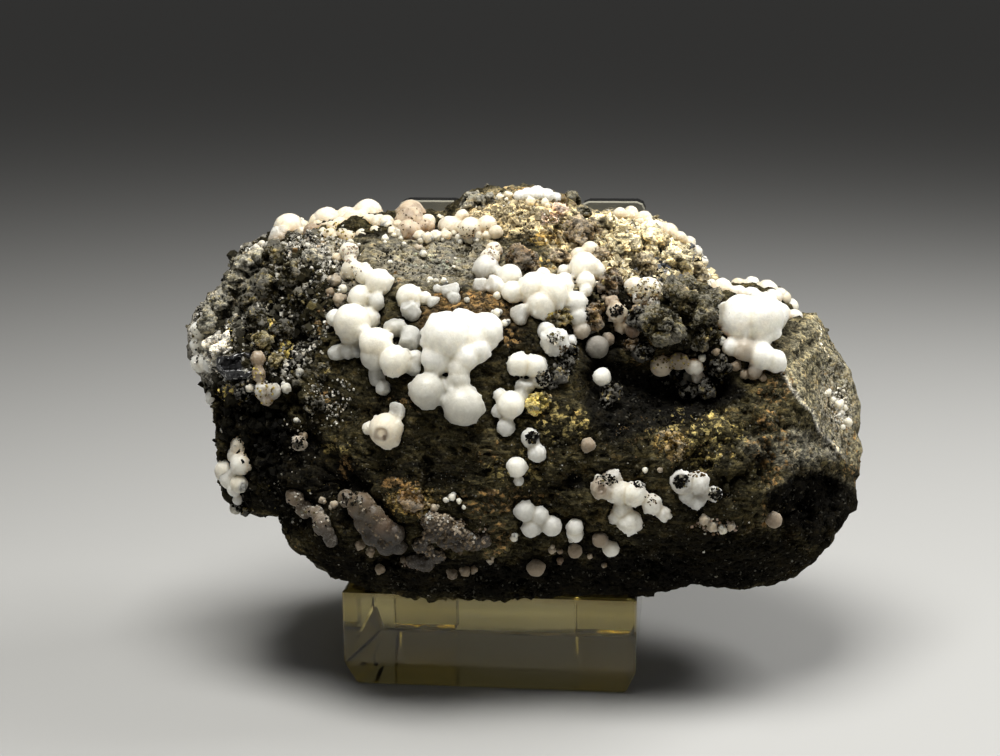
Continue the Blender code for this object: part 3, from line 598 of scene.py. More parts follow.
# granular crust: across, down, half width, half height, number of grains,
# smallest and largest grain (mm), mixture
CLUSTERS = [
    (265, 292, 72, 56, 900, 0.55, 1.35, "own"),
    (650, 262, 84, 50, 700, 0.45, 1.15, "own"),
    (684, 316, 38, 34, 420, 0.40, 0.95, "own"),
    (240, 420, 50, 90, 500, 0.50, 1.20, "own"),
    (520, 430, 300, 150, 1500, 0.22, 0.60, "own"),
    (790, 440, 70, 90, 260, 0.22, 0.60, "own"),
    (520, 215, 60, 24, 260, 0.35, 0.90, "own"),
    (840, 404, 8, 22, 90, 0.18, 0.50, "whites"),
    (275, 275, 62, 42, 1700, 0.20, 0.50, "salt"),
    (318, 252, 40, 22, 700, 0.18, 0.45, "frosted"),
    (232, 306, 34, 36, 1100, 0.20, 0.60, "salt"),
    (290, 326, 40, 46, 1000, 0.22, 0.60, "salt"),
    (262, 362, 30, 30, 500, 0.20, 0.50, "salt"),
    (330, 400, 26, 26, 340, 0.16, 0.38, "frosted"),
    (276, 345, 18, 20, 160, 0.18, 0.42, "gold"),
    (240, 330, 26, 12, 120, 0.16, 0.36, "gold"),
    (350, 300, 22, 30, 240, 0.14, 0.32, "pepper"),
    (435, 258, 66, 24, 640, 0.12, 0.30, "pale"),
    (500, 238, 50, 18, 300, 0.14, 0.34, "pale"),
    (510, 205, 40, 13, 600, 0.14, 0.36, "sandy"),
    (560, 230, 34, 16, 420, 0.18, 0.46, "ochreous"),
    (568, 200, 14, 8, 160, 0.14, 0.36, "rusty"),
    (549, 218, 13, 8, 160, 0.16, 0.36, "pinkish"),
    (626, 252, 9, 20, 200, 0.18, 0.42, "frosted"),
    (640, 246, 64, 34, 1500, 0.18, 0.52, "sandy"),
    (668, 262, 40, 26, 160, 0.40, 1.00, "bluish"),
    (625, 250, 8, 20, 160, 0.20, 0.60, "whites"),
    (690, 265, 24, 26, 500, 0.18, 0.46, "sandy"),
    (660, 270, 50, 24, 240, 0.18, 0.44, "pepper"),
    (600, 270, 26, 26, 320, 0.20, 0.48, "rusty"),
    (620, 305, 34, 26, 500, 0.18, 0.46, "pepper"),
    (682, 314, 32, 28, 900, 0.16, 0.44, "salt"),
    (566, 356, 12, 22, 260, 0.18, 0.42, "pepper"),
    (561, 317, 13, 7, 130, 0.18, 0.42, "gold"),
    (590, 318, 12, 10, 160, 0.18, 0.44, "rusty"),
    (537, 402, 12, 9, 260, 0.20, 0.48, "gold"),
    (570, 330, 20, 16, 160, 0.18, 0.40, "pepper"),
    (611, 392, 10, 9, 120, 0.18, 0.42, "pepper"),
    (690, 378, 40, 10, 300, 0.20, 0.50, "pepper"),
    (672, 446, 20, 16, 420, 0.14, 0.34, "ochreous"),
    (640, 430, 26, 16, 120, 0.12, 0.26, "rusty"),
    (412, 500, 28, 15, 420, 0.14, 0.34, "ochreous"),
    (470, 306, 50, 16, 420, 0.12, 0.30, "rusty"),
    (840, 412, 12, 26, 120, 0.12, 0.34, "frosted"),
    (815, 350, 26, 34, 240, 0.10, 0.24, "pale"),
    (455, 530, 30, 16, 260, 0.16, 0.40, "pinkish"),
    (420, 562, 20, 8, 120, 0.16, 0.36, "pinkish"),
    (205, 348, 12, 28, 260, 0.18, 0.44, "frosted"),
    (226, 372, 14, 16, 200, 0.16, 0.40, "frosted"),
    (300, 440, 30, 30, 300, 0.14, 0.34, "pepper"),
    (286, 500, 30, 34, 260, 0.16, 0.40, "pepper"),
    (470, 480, 150, 60, 700, 0.10, 0.24, "flecks"),
    (700, 470, 130, 70, 300, 0.10, 0.24, "flecks"),
    (714, 526, 24, 8, 110, 0.18, 0.46, "pinkish"),
    (452, 262, 5, 5, 6, 0.50, 0.80, "pinkish"),
]

MIXTURES = {
    "own": [("basalt", 1.0)],
    "whites": [("white", 0.60), ("grey_white", 0.30), ("tan", 0.10)],
    "bluish": [("blue_grey", 0.70), ("black", 0.20), ("frost", 0.10)],
    "salt": [("black", 0.24), ("basalt_dark", 0.14), ("grey", 0.27), ("frost", 0.27), ("olive", 0.08)],
    "pepper": [("black", 0.50), ("basalt_dark", 0.24), ("grey", 0.14), ("olive", 0.06), ("frost", 0.06)],
    "frosted": [("frost", 0.62), ("grey", 0.26), ("black", 0.12)],
    "gold": [("yellow", 0.52), ("ochre", 0.30), ("olive", 0.18)],
    "pale": [("basalt_pale", 0.50), ("frost", 0.03), ("grey", 0.21), ("basalt_dark", 0.26)],
    "sandy": [("olive_pale", 0.48), ("sand", 0.26), ("frost", 0.12), ("ochre", 0.06), ("basalt_dark", 0.08)],
    "rusty": [("rust", 0.50), ("rust_dark", 0.22), ("ochre", 0.16), ("basalt_dark", 0.12)],
    "ochreous": [("ochre", 0.56), ("rust", 0.20), ("sand", 0.12), ("rust_dark", 0.12)],
    "frosty": [("pink_grey", 0.45), ("grey_white", 0.30), ("tan", 0.25)],
    # its dim tones are painted shade, for crumbs on the calcite under the overhang
    "crystals": [("dim_pink", 0.40), ("tan", 0.26), ("pink_grey", 0.08), ("dim", 0.26)],
    "pinkish": [("pink", 0.48), ("pink_grey", 0.22), ("frost", 0.16), ("brown", 0.14)],
    "flecks": [("grey", 0.34), ("olive", 0.32), ("frost", 0.04), ("rust", 0.30)],
    "hidden": [("grey", 0.30), ("basalt_pale", 0.25), ("frost", 0.12), ("black", 0.25), ("rust", 0.08)],
}

# rough nubs of matrix: across, down, radius, seat, tone
# the black and basalt_dark nubs in the deep hollow, the lower left and between the calcite masses carry painted shade
NUBS = [
    (473, 204, 12, 0.25, "grey"), (486, 200, 8, 0.25, "grey"),
    (520, 260, 14, 0.30, "rust_dark"), (531, 266, 8, 0.30, "rust_dark"),
    (561, 317, 9, 0.40, "olive"), (553, 318, 7, 0.40, "sand"), (570, 314, 6, 0.40, "yellow"),
    (590, 319, 11, 0.35, "rust_dark"), (598, 308, 7, 0.40, "rust"),
    (537, 402, 10, 0.40, "yellow"), (545, 398, 6, 0.40, "olive"), (531, 409, 6, 0.35, "olive"),
    (557, 374, 9, 0.35, "basalt_dark"), (566, 364, 8, 0.35, "basalt_dark"), (571, 350, 7, 0.30, "black"),
    (611, 392, 10, 0.45, "basalt_dark"), (606, 402, 6, 0.35, "basalt_dark"),
    (686, 312, 32, -0.42, "olive_dark"), (662, 326, 18, -0.15, "olive_dark"), (704, 334, 16, -0.10, "basalt_mid"),
    (640, 318, 12, 0.05, "basalt_dark"), (632, 344, 9, 0.20, "rust_dark"), (646, 350, 10, 0.20, "basalt_dark"),
    (720, 366, 10, 0.30, "basalt_dark"), (706, 388, 9, 0.30, "basalt_dark"), (688, 392, 8, 0.30, "basalt_dark"),
    (606, 226, 12, -0.25, "olive_pale"), (626, 250, 16, -0.45, "olive_pale"), (652, 246, 18, -0.50, "olive_pale"),
    (676, 262, 16, -0.45, "olive_pale"), (640, 268, 14, -0.40, "sand"), (694, 276, 12, -0.30, "sand"),
    (572, 220, 9, -0.10, "sand"), (560, 212, 8, 0.00, "pink"),
    (572, 200, 8, 0.00, "olive_dark"), (585, 214, 7, 0.10, "basalt_mid"),
    (600, 258, 10, 0.00, "boulder"), (612, 282, 9, 0.25, "rust_dark"),
    (252, 264, 15, -0.30, "grey"), (274, 256, 13, -0.30, "basalt_mid"), (238, 286, 15, -0.30, "grey"),
    (222, 306, 14, -0.30, "grey"), (210, 324, 12, -0.20, "grey"), (252, 302, 13, -0.30, "basalt_mid"),
    (270, 286, 14, -0.30, "basalt_mid"), (292, 274, 13, -0.35, "basalt_mid"), (310, 262, 11, -0.30, "grey"),
    (256, 322, 12, -0.20, "basalt"), (300, 300, 10, -0.10, "basalt"), (284, 330, 10, -0.10, "basalt"),
    (220, 350, 14, -0.15, "frost"), (262, 342, 10, -0.10, "olive"), (276, 362, 8, 0.05, "olive"),
    (325, 372, 9, -0.20, "basalt_mid"), (314, 404, 9, -0.20, "basalt"),
    (672, 446, 14, -0.45, "ochre"), (412, 500, 13, -0.40, "rust"), (424, 508, 8, -0.10, "ochre"),
    (246, 505, 9, 0.15, "black"), 
    (577, 236, 15, 0.05, "boulder"), (590, 228, 10, 0.10, "boulder"), (560, 258, 9, 0.15, "boulder"),
    (606, 288, 11, 0.20, "rust_dark"), (612, 276, 8, 0.25, "rust_dark"), (244, 392, 9, 0.20, "black"), (560, 372, 7, 0.30, "basalt_dark"), (552, 382, 6, 0.30, "basalt_dark"),
]

# small white growths that have no solid of their own: across, down, radius, tone
SPECKS = [
    (212, 396, 6.0, "grey_white"), (218, 408, 6.5, "white"), (224, 421, 7.0, "white"), (229, 436, 7.5, "grey_white"),
    (234, 449, 7.5, "white"), (227, 471, 12.5, "bright"), (239, 484, 9.0, "white"), (236, 508, 6.5, "grey_white"),
    (722, 288, 10.0, "bright"), (738, 286, 8.0, "cream"), (752, 285, 8.5, "bright"), (768, 291, 10.0, "bright"),
    (782, 299, 9.0, "cream"), (794, 318, 9.0, "bright"), (790, 307, 8.5, "bright"), (757, 300, 9.0, "bright"),
    (303, 228, 8.0, "cream"), (318, 222, 9.0, "cream"), (345, 222, 9.5, "cream"), (386, 224, 9.0, "cream"),
    (428, 222, 8.0, "cream"), (446, 226, 8.5, "cream"), (496, 232, 7.0, "cream"),
    (497, 313, 4.5, "white"), (430, 280, 3.5, "white"), (436, 281, 3.0, "grey_white"), (444, 281, 3.5, "white"),
    (592, 329, 4.5, "white"), (505, 323, 4.0, "white"), (385, 239, 4.0, "white"), (418, 248, 4.0, "pink_grey"),
    (424, 254, 3.5, "white"), (467, 300, 3.0, "glass"), (390, 262, 2.5, "white"), (404, 244, 2.5, "white"),
    (560, 333, 3.5, "white"), (462, 314, 3.0, "white"), (497, 296, 4.0, "white"), (640, 222, 4.5, "cream"),
    (704, 520, 5.0, "pink_grey"), (712, 527, 5.5, "pink_grey"), (723, 530, 4.5, "white"), (731, 527, 4.0, "pink_grey"),
    (514, 538, 4.0, "white"), (452, 497, 4.0, "white"), (459, 501, 3.0, "white"), (464, 507, 2.5, "white"),
    (446, 500, 3.0, "grey_white"), (434, 508, 4.5, "pink_grey"), (552, 550, 4.0, "pink_grey"), (560, 551, 3.0, "tan"),
    (300, 545, 4.0, "pink_grey"), (340, 556, 4.0, "tan"), (352, 562, 4.0, "tan"), (322, 500, 3.5, "pink_grey"),
    (380, 569, 5.0, "tan"), (465, 571, 5.0, "tan"), (452, 574, 5.5, "dim_pink"), (474, 569, 4.0, "tan"),
    (490, 560, 4.0, "pink_grey"), (590, 556, 3.0, "pink_grey"), (604, 565, 3.0, "tan"), (560, 560, 3.5, "brown"),
    (641, 486, 4.0, "glass"), (645, 470, 3.0, "white"), (660, 470, 3.0, "pink_grey"), (664, 362, 4.0, "cream"),
    (828, 393, 3.5, "white"), (833, 400, 3.0, "white"), (839, 405, 4.5, "white"), (841, 413, 3.5, "grey_white"),
    (848, 422, 4.5, "white"), (843, 427, 2.5, "white"), (845, 408, 3.0, "white"), (612, 292, 4.5, "rust"), (604, 298, 4.0, "tan"),
    (636, 308, 4.0, "tan"), (645, 314, 3.5, "cream"), (626, 318, 4.0, "pink_grey"), (598, 286, 4.0, "cream"),
    (688, 376, 5.0, "white"), (684, 384, 4.0, "grey_white"), (702, 358, 4.0, "white"), (716, 352, 4.0, "tan"),
    (722, 340, 4.0, "grey_white"), (736, 366, 5.0, "tan"), (745, 374, 5.5, "tan"), (763, 378, 4.0, "tan"),
    (300, 372, 4.5, "glass"), (286, 388, 5.0, "grey_white"), (246, 372, 5.0, "glass"), (250, 388, 4.5, "frost"),
    (312, 238, 5.0, "cream"), (324, 233, 6.0, "cream"), (336, 238, 5.5, "cream"), (350, 237, 6.0, "cream"),
    (362, 235, 6.5, "cream"), (375, 232, 6.5, "cream"), (388, 226, 6.0, "cream"), (427, 238, 6.0, "cream"),
    (446, 236, 6.0, "cream"), (454, 228, 6.0, "cream"), (470, 239, 5.0, "cream"), (487, 236, 5.0, "cream"),
    (318, 226, 6.0, "peach"), (345, 230, 6.5, "cream"), (401, 234, 5.5, "white"),
    (322, 236, 4.0, "frost"), (300, 240, 4.0, "frost"), (308, 246, 3.5, "frost"), (296, 250, 3.5, "frost"),
    (337, 258, 5.0, "peach"), (345, 274, 5.0, "peach"), (335, 281, 6.0, "pink_grey"), (339, 299, 6.0, "pink_grey"),
    (330, 292, 4.5, "tan"), (343, 289, 4.5, "white"), (398, 226, 6.0, "peach"), (440, 220, 5.5, "cream"),
    (392, 232, 5.0, "cream"), (420, 236, 6.0, "cream"), (436, 236, 6.0, "white"), (460, 238, 5.0, "white"),
    (478, 236, 5.5, "cream"), (300, 224, 5.0, "cream"), (303, 232, 5.5, "cream"), (268, 246, 4.5, "glass"),
    (262, 244, 4.0, "frost"), (256, 248, 4.0, "frost"), (248, 252, 3.5, "grey_white"),
    (704, 262, 4.5, "white"), (706, 276, 4.5, "cream"), (712, 284, 5.0, "white"), (716, 298, 5.0, "tan"),
    (698, 252, 5.0, "white"), (666, 240, 5.0, "cream"), (652, 234, 5.0, "white"), (640, 230, 4.5, "cream"),
    (614, 222, 4.5, "cream"), (600, 222, 4.0, "tan"), (508, 196, 5.0, "cream"), (562, 200, 5.0, "ochre"),
    (572, 206, 5.0, "ochre"), (500, 198, 4.5, "cream"), (530, 202, 5.0, "cream"), (545, 203, 4.5, "cream"),
    (222, 412, 4.5, "glass"), (218, 420, 4.5, "grey_white"), (226, 440, 5.0, "grey_white"), (244, 430, 4.0, "tan"),
    (242, 486, 4.5, "glass"), (296, 420, 3.0, "grey_white"), (304, 436, 4.0, "tan"), (334, 505, 4.5, "pink_grey"),
    (370, 552, 4.5, "tan"), (360, 545, 5.0, "tan"), (404, 560, 4.0, "dim_pink"),
    (571, 540, 3.0, "grey_white"), (607, 478, 4.5, "pink_grey"), (598, 478, 4.0, "white"),
]

# tones of single beads, by group and place; the rest take their group's tone
# the dim, dim_pink and shadow_grey tones in GROUP_TONE and BEAD_TONE are painted shade for beads under the overhang
# and in the hollow
GROUP_TONE = {
    "calcite_hollow_back": "shadow_grey", "calcite_brown_bead": "tan", "calcite_snail_ball": "cream",
    "calcite_dotted_beads": "peach", "calcite_overhang_row": "pink_grey", "calcite_skyline_right": "cream",
    "calcite_skyline_end": "cream", "calcite_skyline_left": "cream", "calcite_skyline_mottled": "rosy", "calcite_lower_quartet": "grey_white",
    "calcite_skyline_pair": "cream", "calcite_top_cap": "bright", "calcite_lower_tan_bead": "tan",
    "calcite_underside_bead": "tan", "calcite_tan_pair": "pink_grey", "calcite_lower_right_mass": "white",
    "calcite_right_bead": "tan", "calcite_mottled_bead": "pink_grey", "calcite_lower_left_row": "dim_pink",
    "calcite_lower_band": "dim", "calcite_pink_crust": "dim_pink", "calcite_right_mass": "bright",
    "calcite_centre_mass": "bright", "calcite_hollow_bead": "white", "calcite_left_column": "white",
    "calcite_left_trio": "grey_white", "calcite_pitted_nodule": "grey_white", "calcite_shell_pair": "grey_white",
    "calcite_small_fleck": "glass", "calcite_pitted_right": "grey_white", "calcite_back_ridge": "cream",
    "calcite_back_middle": "cream",
}
BEAD_TONE = {
    (427, 391): "pearl", (463, 406): "pearl", (444, 387): "pearl", (459, 368): "white", (459, 380): "pearl",
    (352, 322): "white", (376, 344): "white", (374, 356): "pearl", (226, 470): "bright", (230, 479): "white",
    (395, 327): "glass", (409, 338): "glass", (415, 358): "grey_white", (414, 368): "glass", (410, 309): "glass", (433, 301): "glass",
    (338, 352): "glass", (348, 351): "glass", (357, 349): "glass", (384, 388): "glass", (376, 377): "glass", (376, 303): "glass",
    (481, 284): "glass", (494, 286): "grey_white", (520, 314): "glass", (546, 332): "grey_white",
    (349, 252): "cream", (352, 269): "cream", (365, 268): "cream", (524, 387): "grey_white", (520, 396): "glass",
    (498, 411): "grey_white", (506, 427): "grey_white", (575, 304): "grey_white", (579, 317): "grey_white", (582, 330): "pink_grey",
    (590, 250): "peach", (579, 256): "peach", (494, 250): "peach", (490, 258): "cream", (486, 268): "grey_white", (661, 366): "peach", (698, 377): "white", (694, 367): "white",
    (721, 290): "cream", (739, 286): "peach", (745, 350): "pink_grey", (754, 372): "tan", (779, 296): "cream", (792, 307): "peach", (767, 290): "cream",
    (273, 391): "glass", (262, 391): "grey_white", (267, 399): "tan", (258, 358): "tan", (259, 375): "tan",
    (397, 412): "glass", (369, 428): "cream", (602, 488): "pink_grey", (613, 477): "grey_white",
    (600, 540): "tan", (611, 549): "white", (374, 516): "dim", (382, 527): "brown", (346, 498): "dim",
    (411, 215): "rosy", (312, 232): "tan", (340, 227): "cream", (368, 214): "cream", (327, 221): "cream",
    (597, 347): "shadow_grey", (608, 339): "tan", (633, 330): "brown", (612, 302): "tan",
    (277, 236): "glass", (289, 228): "cream",
}
# groups whose beads run together in one smooth mass
MERGED = {"calcite_centre_mass", "calcite_right_mass", "calcite_lower_band", "calcite_left_column", "calcite_top_cap", "calcite_left_edge"}
# and those with a rough, broken skin
ROUGH = {
    "calcite_pink_crust", "calcite_pitted_nodule", "calcite_pitted_right", "calcite_white_patch",
    "calcite_small_fleck", "calcite_lower_right_mass", "calcite_dotted_beads", "calcite_left_trio", "calcite_lower_left_row",
}
SMOOTH_BEADS = {"calcite_hollow_bead", "calcite_left_bead", "calcite_hollow_back"}
ANGULAR = {
    (395, 327), (409, 338), (414, 368), (410, 309), (433, 301), (452, 291), (453, 298), (438, 289), (445, 290),
    (338, 352), (357, 349), (384, 388), (376, 377), (376, 303), (481, 284), (494, 286), (520, 314), (546, 332),
    (520, 396), (524, 387), (397, 412), (277, 236), (213, 364),
}

# dark crumbs of matrix on the calcite: group, across, down, half width, half
# height, number, smallest and largest (mm), mixture
CRUMBS = [
    ("calcite_pitted_right", 681, 481, 8, 7, 70, 0.20, 0.50, "pepper"),
    ("calcite_pitted_right", 716, 494, 7, 6, 50, 0.20, 0.45, "pepper"),
    ("calcite_pitted_right", 697, 474, 9, 3, 30, 0.15, 0.35, "rusty"),
    ("calcite_shell_pair", 533, 438, 7, 6, 60, 0.18, 0.42, "pepper"),
    ("calcite_pitted_nodule", 556, 338, 9, 7, 60, 0.15, 0.40, "salt"),
    ("calcite_pitted_nodule", 563, 350, 5, 6, 30, 0.15, 0.35, "rusty"),
    ("calcite_lower_right_mass", 606, 480, 12, 6, 60, 0.15, 0.38, "pepper"),
    ("calcite_lower_right_mass", 640, 484, 10, 4, 40, 0.15, 0.35, "pepper"),
    ("calcite_lower_right_mass", 650, 500, 8, 6, 24, 0.12, 0.30, "rusty"),
    ("calcite_middle_string", 543, 378, 7, 9, 80, 0.18, 0.45, "pepper"),
    ("calcite_white_patch", 648, 288, 22, 9, 90, 0.15, 0.45, "sandy"),
    ("calcite_white_patch", 650, 298, 20, 9, 50, 0.15, 0.40, "rusty"),
    ("calcite_dotted_beads", 617, 311, 7, 6, 60, 0.18, 0.42, "pepper"),
    ("calcite_overhang_row", 668, 362, 22, 8, 50, 0.15, 0.38, "gold"),
    ("calcite_left_edge", 200, 345, 12, 26, 50, 0.18, 0.45, "salt"),
    ("calcite_left_column", 236, 456, 14, 34, 12, 0.15, 0.38, "salt"),
    ("calcite_left_trio", 264, 384, 14, 22, 70, 0.15, 0.38, "gold"),
    ("calcite_mottled_bead", 298, 442, 7, 7, 40, 0.15, 0.35, "pepper"),
    ("calcite_lower_band", 372, 524, 34, 26, 140, 0.15, 0.40, "crystals"),
    ("calcite_lower_band", 350, 498, 14, 8, 60, 0.15, 0.40, "pepper"),
    ("calcite_pink_crust", 448, 536, 40, 24, 300, 0.18, 0.55, "crystals"),
    ("calcite_pink_crust", 436, 514, 26, 9, 110, 0.20, 0.55, "frosty"),
    ("calcite_pink_crust", 470, 530, 18, 9, 60, 0.20, 0.50, "frosty"),
    ("calcite_skyline_mottled", 411, 222, 16, 14, 26, 0.12, 0.32, "rusty"),
    ("calcite_skyline_left", 350, 230, 34, 10, 90, 0.12, 0.34, "gold"),
    ("calcite_skyline_pair", 470, 232, 26, 8, 60, 0.12, 0.30, "rusty"),
    ("calcite_upper_centre", 560, 318, 14, 8, 90, 0.18, 0.48, "gold"),
    ("calcite_upper_centre", 592, 312, 8, 9, 60, 0.18, 0.45, "pepper"),
    ("calcite_upper_centre", 494, 250, 10, 10, 50, 0.14, 0.34, "pinkish"),
    ("calcite_left_mass", 350, 254, 10, 9, 60, 0.14, 0.36, "pinkish"),
    ("calcite_left_mass", 352, 272, 10, 6, 30, 0.12, 0.30, "whites"),
    ("calcite_lower_left_row", 308, 512, 24, 22, 100, 0.15, 0.40, "salt"),
]

# tint at the foot of the beads: share, tone; and mottling: tone, share
WARM_FEET = {
    "calcite_skyline_left": (0.50, "orange"), "calcite_skyline_mottled": (0.60, "orange"),
    "calcite_skyline_pair": (0.50, "orange"), "calcite_skyline_end": (0.50, "orange"),
    "calcite_skyline_right": (0.50, "orange"), "calcite_right_mass": (0.40, "orange"),
    "calcite_dotted_beads": (0.60, "orange"), "calcite_white_patch": (0.50, "orange"),
    "calcite_overhang_row": (0.60, "orange"), "calcite_upper_centre": (0.30, "orange"),
    "calcite_left_trio": (0.60, "orange"), "calcite_lower_right_mass": (0.40, "orange"),
    "calcite_pink_crust": (0.50, "orange"), "calcite_lower_band": (0.60, "orange"),
    "calcite_left_column": (0.40, "orange"), "calcite_snail_ball": (0.30, "orange"),
}
MOTTLED = {
    "calcite_skyline_mottled": ("brown", 0.50), "calcite_mottled_bead": ("brown", 0.55),
    "calcite_lower_band": ("brown", 0.45), "calcite_pink_crust": ("brown", 0.35),
    "calcite_left_trio": ("tan", 0.50), "calcite_lower_left_row": ("tan", 0.50),
    "calcite_dotted_beads": ("brown", 0.40), "calcite_skyline_left": ("orange", 0.22),
    "calcite_skyline_pair": ("orange", 0.22), "calcite_skyline_right": ("orange", 0.30),
    "calcite_skyline_end": ("orange", 0.22), "calcite_white_patch": ("orange", 0.35),
    "calcite_lower_right_mass": ("tan", 0.22), "calcite_pitted_right": ("brown", 0.25),
    "calcite_overhang_row": ("brown", 0.30),
}

# hollows in beads: group, across, down, radius, depth (mm), rim tone, floor tone
CRATERS = [
    ("calcite_snail_ball", 381, 434, 6.6, 0.22, "tan", "cream"), ("calcite_snail_ball", 384, 438, 2.2, 0.22, "brown", "brown"),
    ("calcite_lower_right_mass", 602, 489, 4.2, 0.40, "brown", "pink_grey"),
    ("calcite_pitted_right", 681, 481, 6.5, 0.45, "basalt_dark", "basalt_dark"),
    ("calcite_shell_pair", 533, 438, 5.0, 0.80, "basalt_dark", "basalt_dark"),
    ("calcite_mottled_bead", 297, 445, 3.5, 0.45, "black", "brown"),
    ("calcite_dotted_beads", 619, 312, 4.0, 0.30, "brown", "tan"),
]


# ------------------------------------------------------------ node graphs
class Graph:
    """A material's nodes, built in short lines."""

    def __init__(self, name):
        self.mat = bpy.data.materials.new(name)
        self.mat.use_nodes = True
        self.tree = self.mat.node_tree
        self.shader = self.tree.nodes["Principled BSDF"]
        self.place = self.new("ShaderNodeTexCoord").outputs["Object"]

    def new(self, kind, **props):
        node = self.tree.nodes.new(kind)
        for key, value in props.items():
            setattr(node, key, value)
        return node

    def put(self, socket, value):
        if isinstance(value, bpy.types.NodeSocket):
            self.tree.links.new(value, socket)
        elif isinstance(value, (tuple, list, np.ndarray)) and len(socket.default_value) == 4:
            socket.default_value = (*[float(x) for x in value[:3]], 1.0)
        else:
            socket.default_value = value

    def mapped(self, rotation=(0, 0, 0), scale=(1, 1, 1), source=None):
        node = self.new("ShaderNodeMapping")
        self.put(node.inputs["Vector"], source or self.place)
        node.inputs["Rotation"].default_value = rotation
        node.inputs["Scale"].default_value = scale
        return node.outputs["Vector"]

    def noise(self, size, detail=4.0, rough=0.55, distortion=0.0, vector=None, colour=False):
        node = self.new("ShaderNodeTexNoise")
        self.put(node.inputs["Vector"], vector or self.place)
        node.inputs["Scale"].default_value = 1.0 / size
        node.inputs["Detail"].default_value = detail
        node.inputs["Roughness"].default_value = rough
        node.inputs["Distortion"].default_value = distortion
        return node.outputs["Color" if colour else "Fac"]

    def voronoi(self, size, feature="F1", vector=None, output="Distance", randomness=1.0):
        node = self.new("ShaderNodeTexVoronoi", feature=feature)
        self.put(node.inputs["Vector"], vector or self.place)
        node.inputs["Scale"].default_value = 1.0 / size
        node.inputs["Randomness"].default_value = randomness
        return node.outputs[output]

    def attribute(self, name, output="Fac"):
        node = self.new("ShaderNodeAttribute", attribute_name=name)
        return node.outputs[output]

    def ramp(self, value, low, high, out_low=0.0, out_high=1.0, smooth_step=True):
        node = self.new("ShaderNodeMapRange")
        node.interpolation_type = "SMOOTHSTEP" if smooth_step else "LINEAR"
        self.put(node.inputs["Value"], value)
        node.inputs["From Min"].default_value = low
        node.inputs["From Max"].default_value = high
        node.inputs["To Min"].default_value = out_low
        node.inputs["To Max"].default_value = out_high
        return node.outputs["Result"]

    def math(self, operation, a, b=None, clamp=False):
        node = self.new("ShaderNodeMath", operation=operation, use_clamp=clamp)
        self.put(node.inputs[0], a)
        if b is not None:
            self.put(node.inputs[1], b)
        return node.outputs["Value"]

    def mix(self, share, a, b, mode="MIX"):
        node = self.new("ShaderNodeMix", data_type="RGBA", blend_type=mode)
        self.put(node.inputs[0], share)
        self.put(node.inputs[6], a)
        self.put(node.inputs[7], b)
        return node.outputs[2]

    def grey(self, value):
        """A number as a colour, to multiply with."""
        node = self.new("ShaderNodeCombineColor")
        for key in ("Red", "Green", "Blue"):
            self.put(node.inputs[key], value)
        return node.outputs["Color"]

    def first(self, colour):
        node = self.new("ShaderNodeSeparateColor")
        self.put(node.inputs["Color"], colour)
        return node.outputs["Red"]

    def shift(self, vector, by, amount):
        """Vector moved by a noise colour."""
        centre = self.new("ShaderNodeVectorMath", operation="SUBTRACT")
        self.put(centre.inputs[0], by)
        centre.inputs[1].default_value = (0.5, 0.5, 0.5)
        scale = self.new("ShaderNodeVectorMath", operation="SCALE")
        self.put(scale.inputs[0], centre.outputs[0])
        scale.inputs["Scale"].default_value = amount
        add = self.new("ShaderNodeVectorMath", operation="ADD")
        self.put(add.inputs[0], vector)
        self.put(add.inputs[1], scale.outputs[0])
        return add.outputs[0]

    def bump(self, height, strength, distance, normal=None):
        node = self.new("ShaderNodeBump")
        self.put(node.inputs["Height"], height)
        node.inputs["Strength"].default_value = strength
        node.inputs["Distance"].default_value = distance
        if normal is not None:
            self.put(node.inputs["Normal"], normal)
        return node.outputs["Normal"]

    def set(self, **sockets):
        for key, value in sockets.items():
            self.put(self.shader.inputs[key.replace("_", " ")], value)


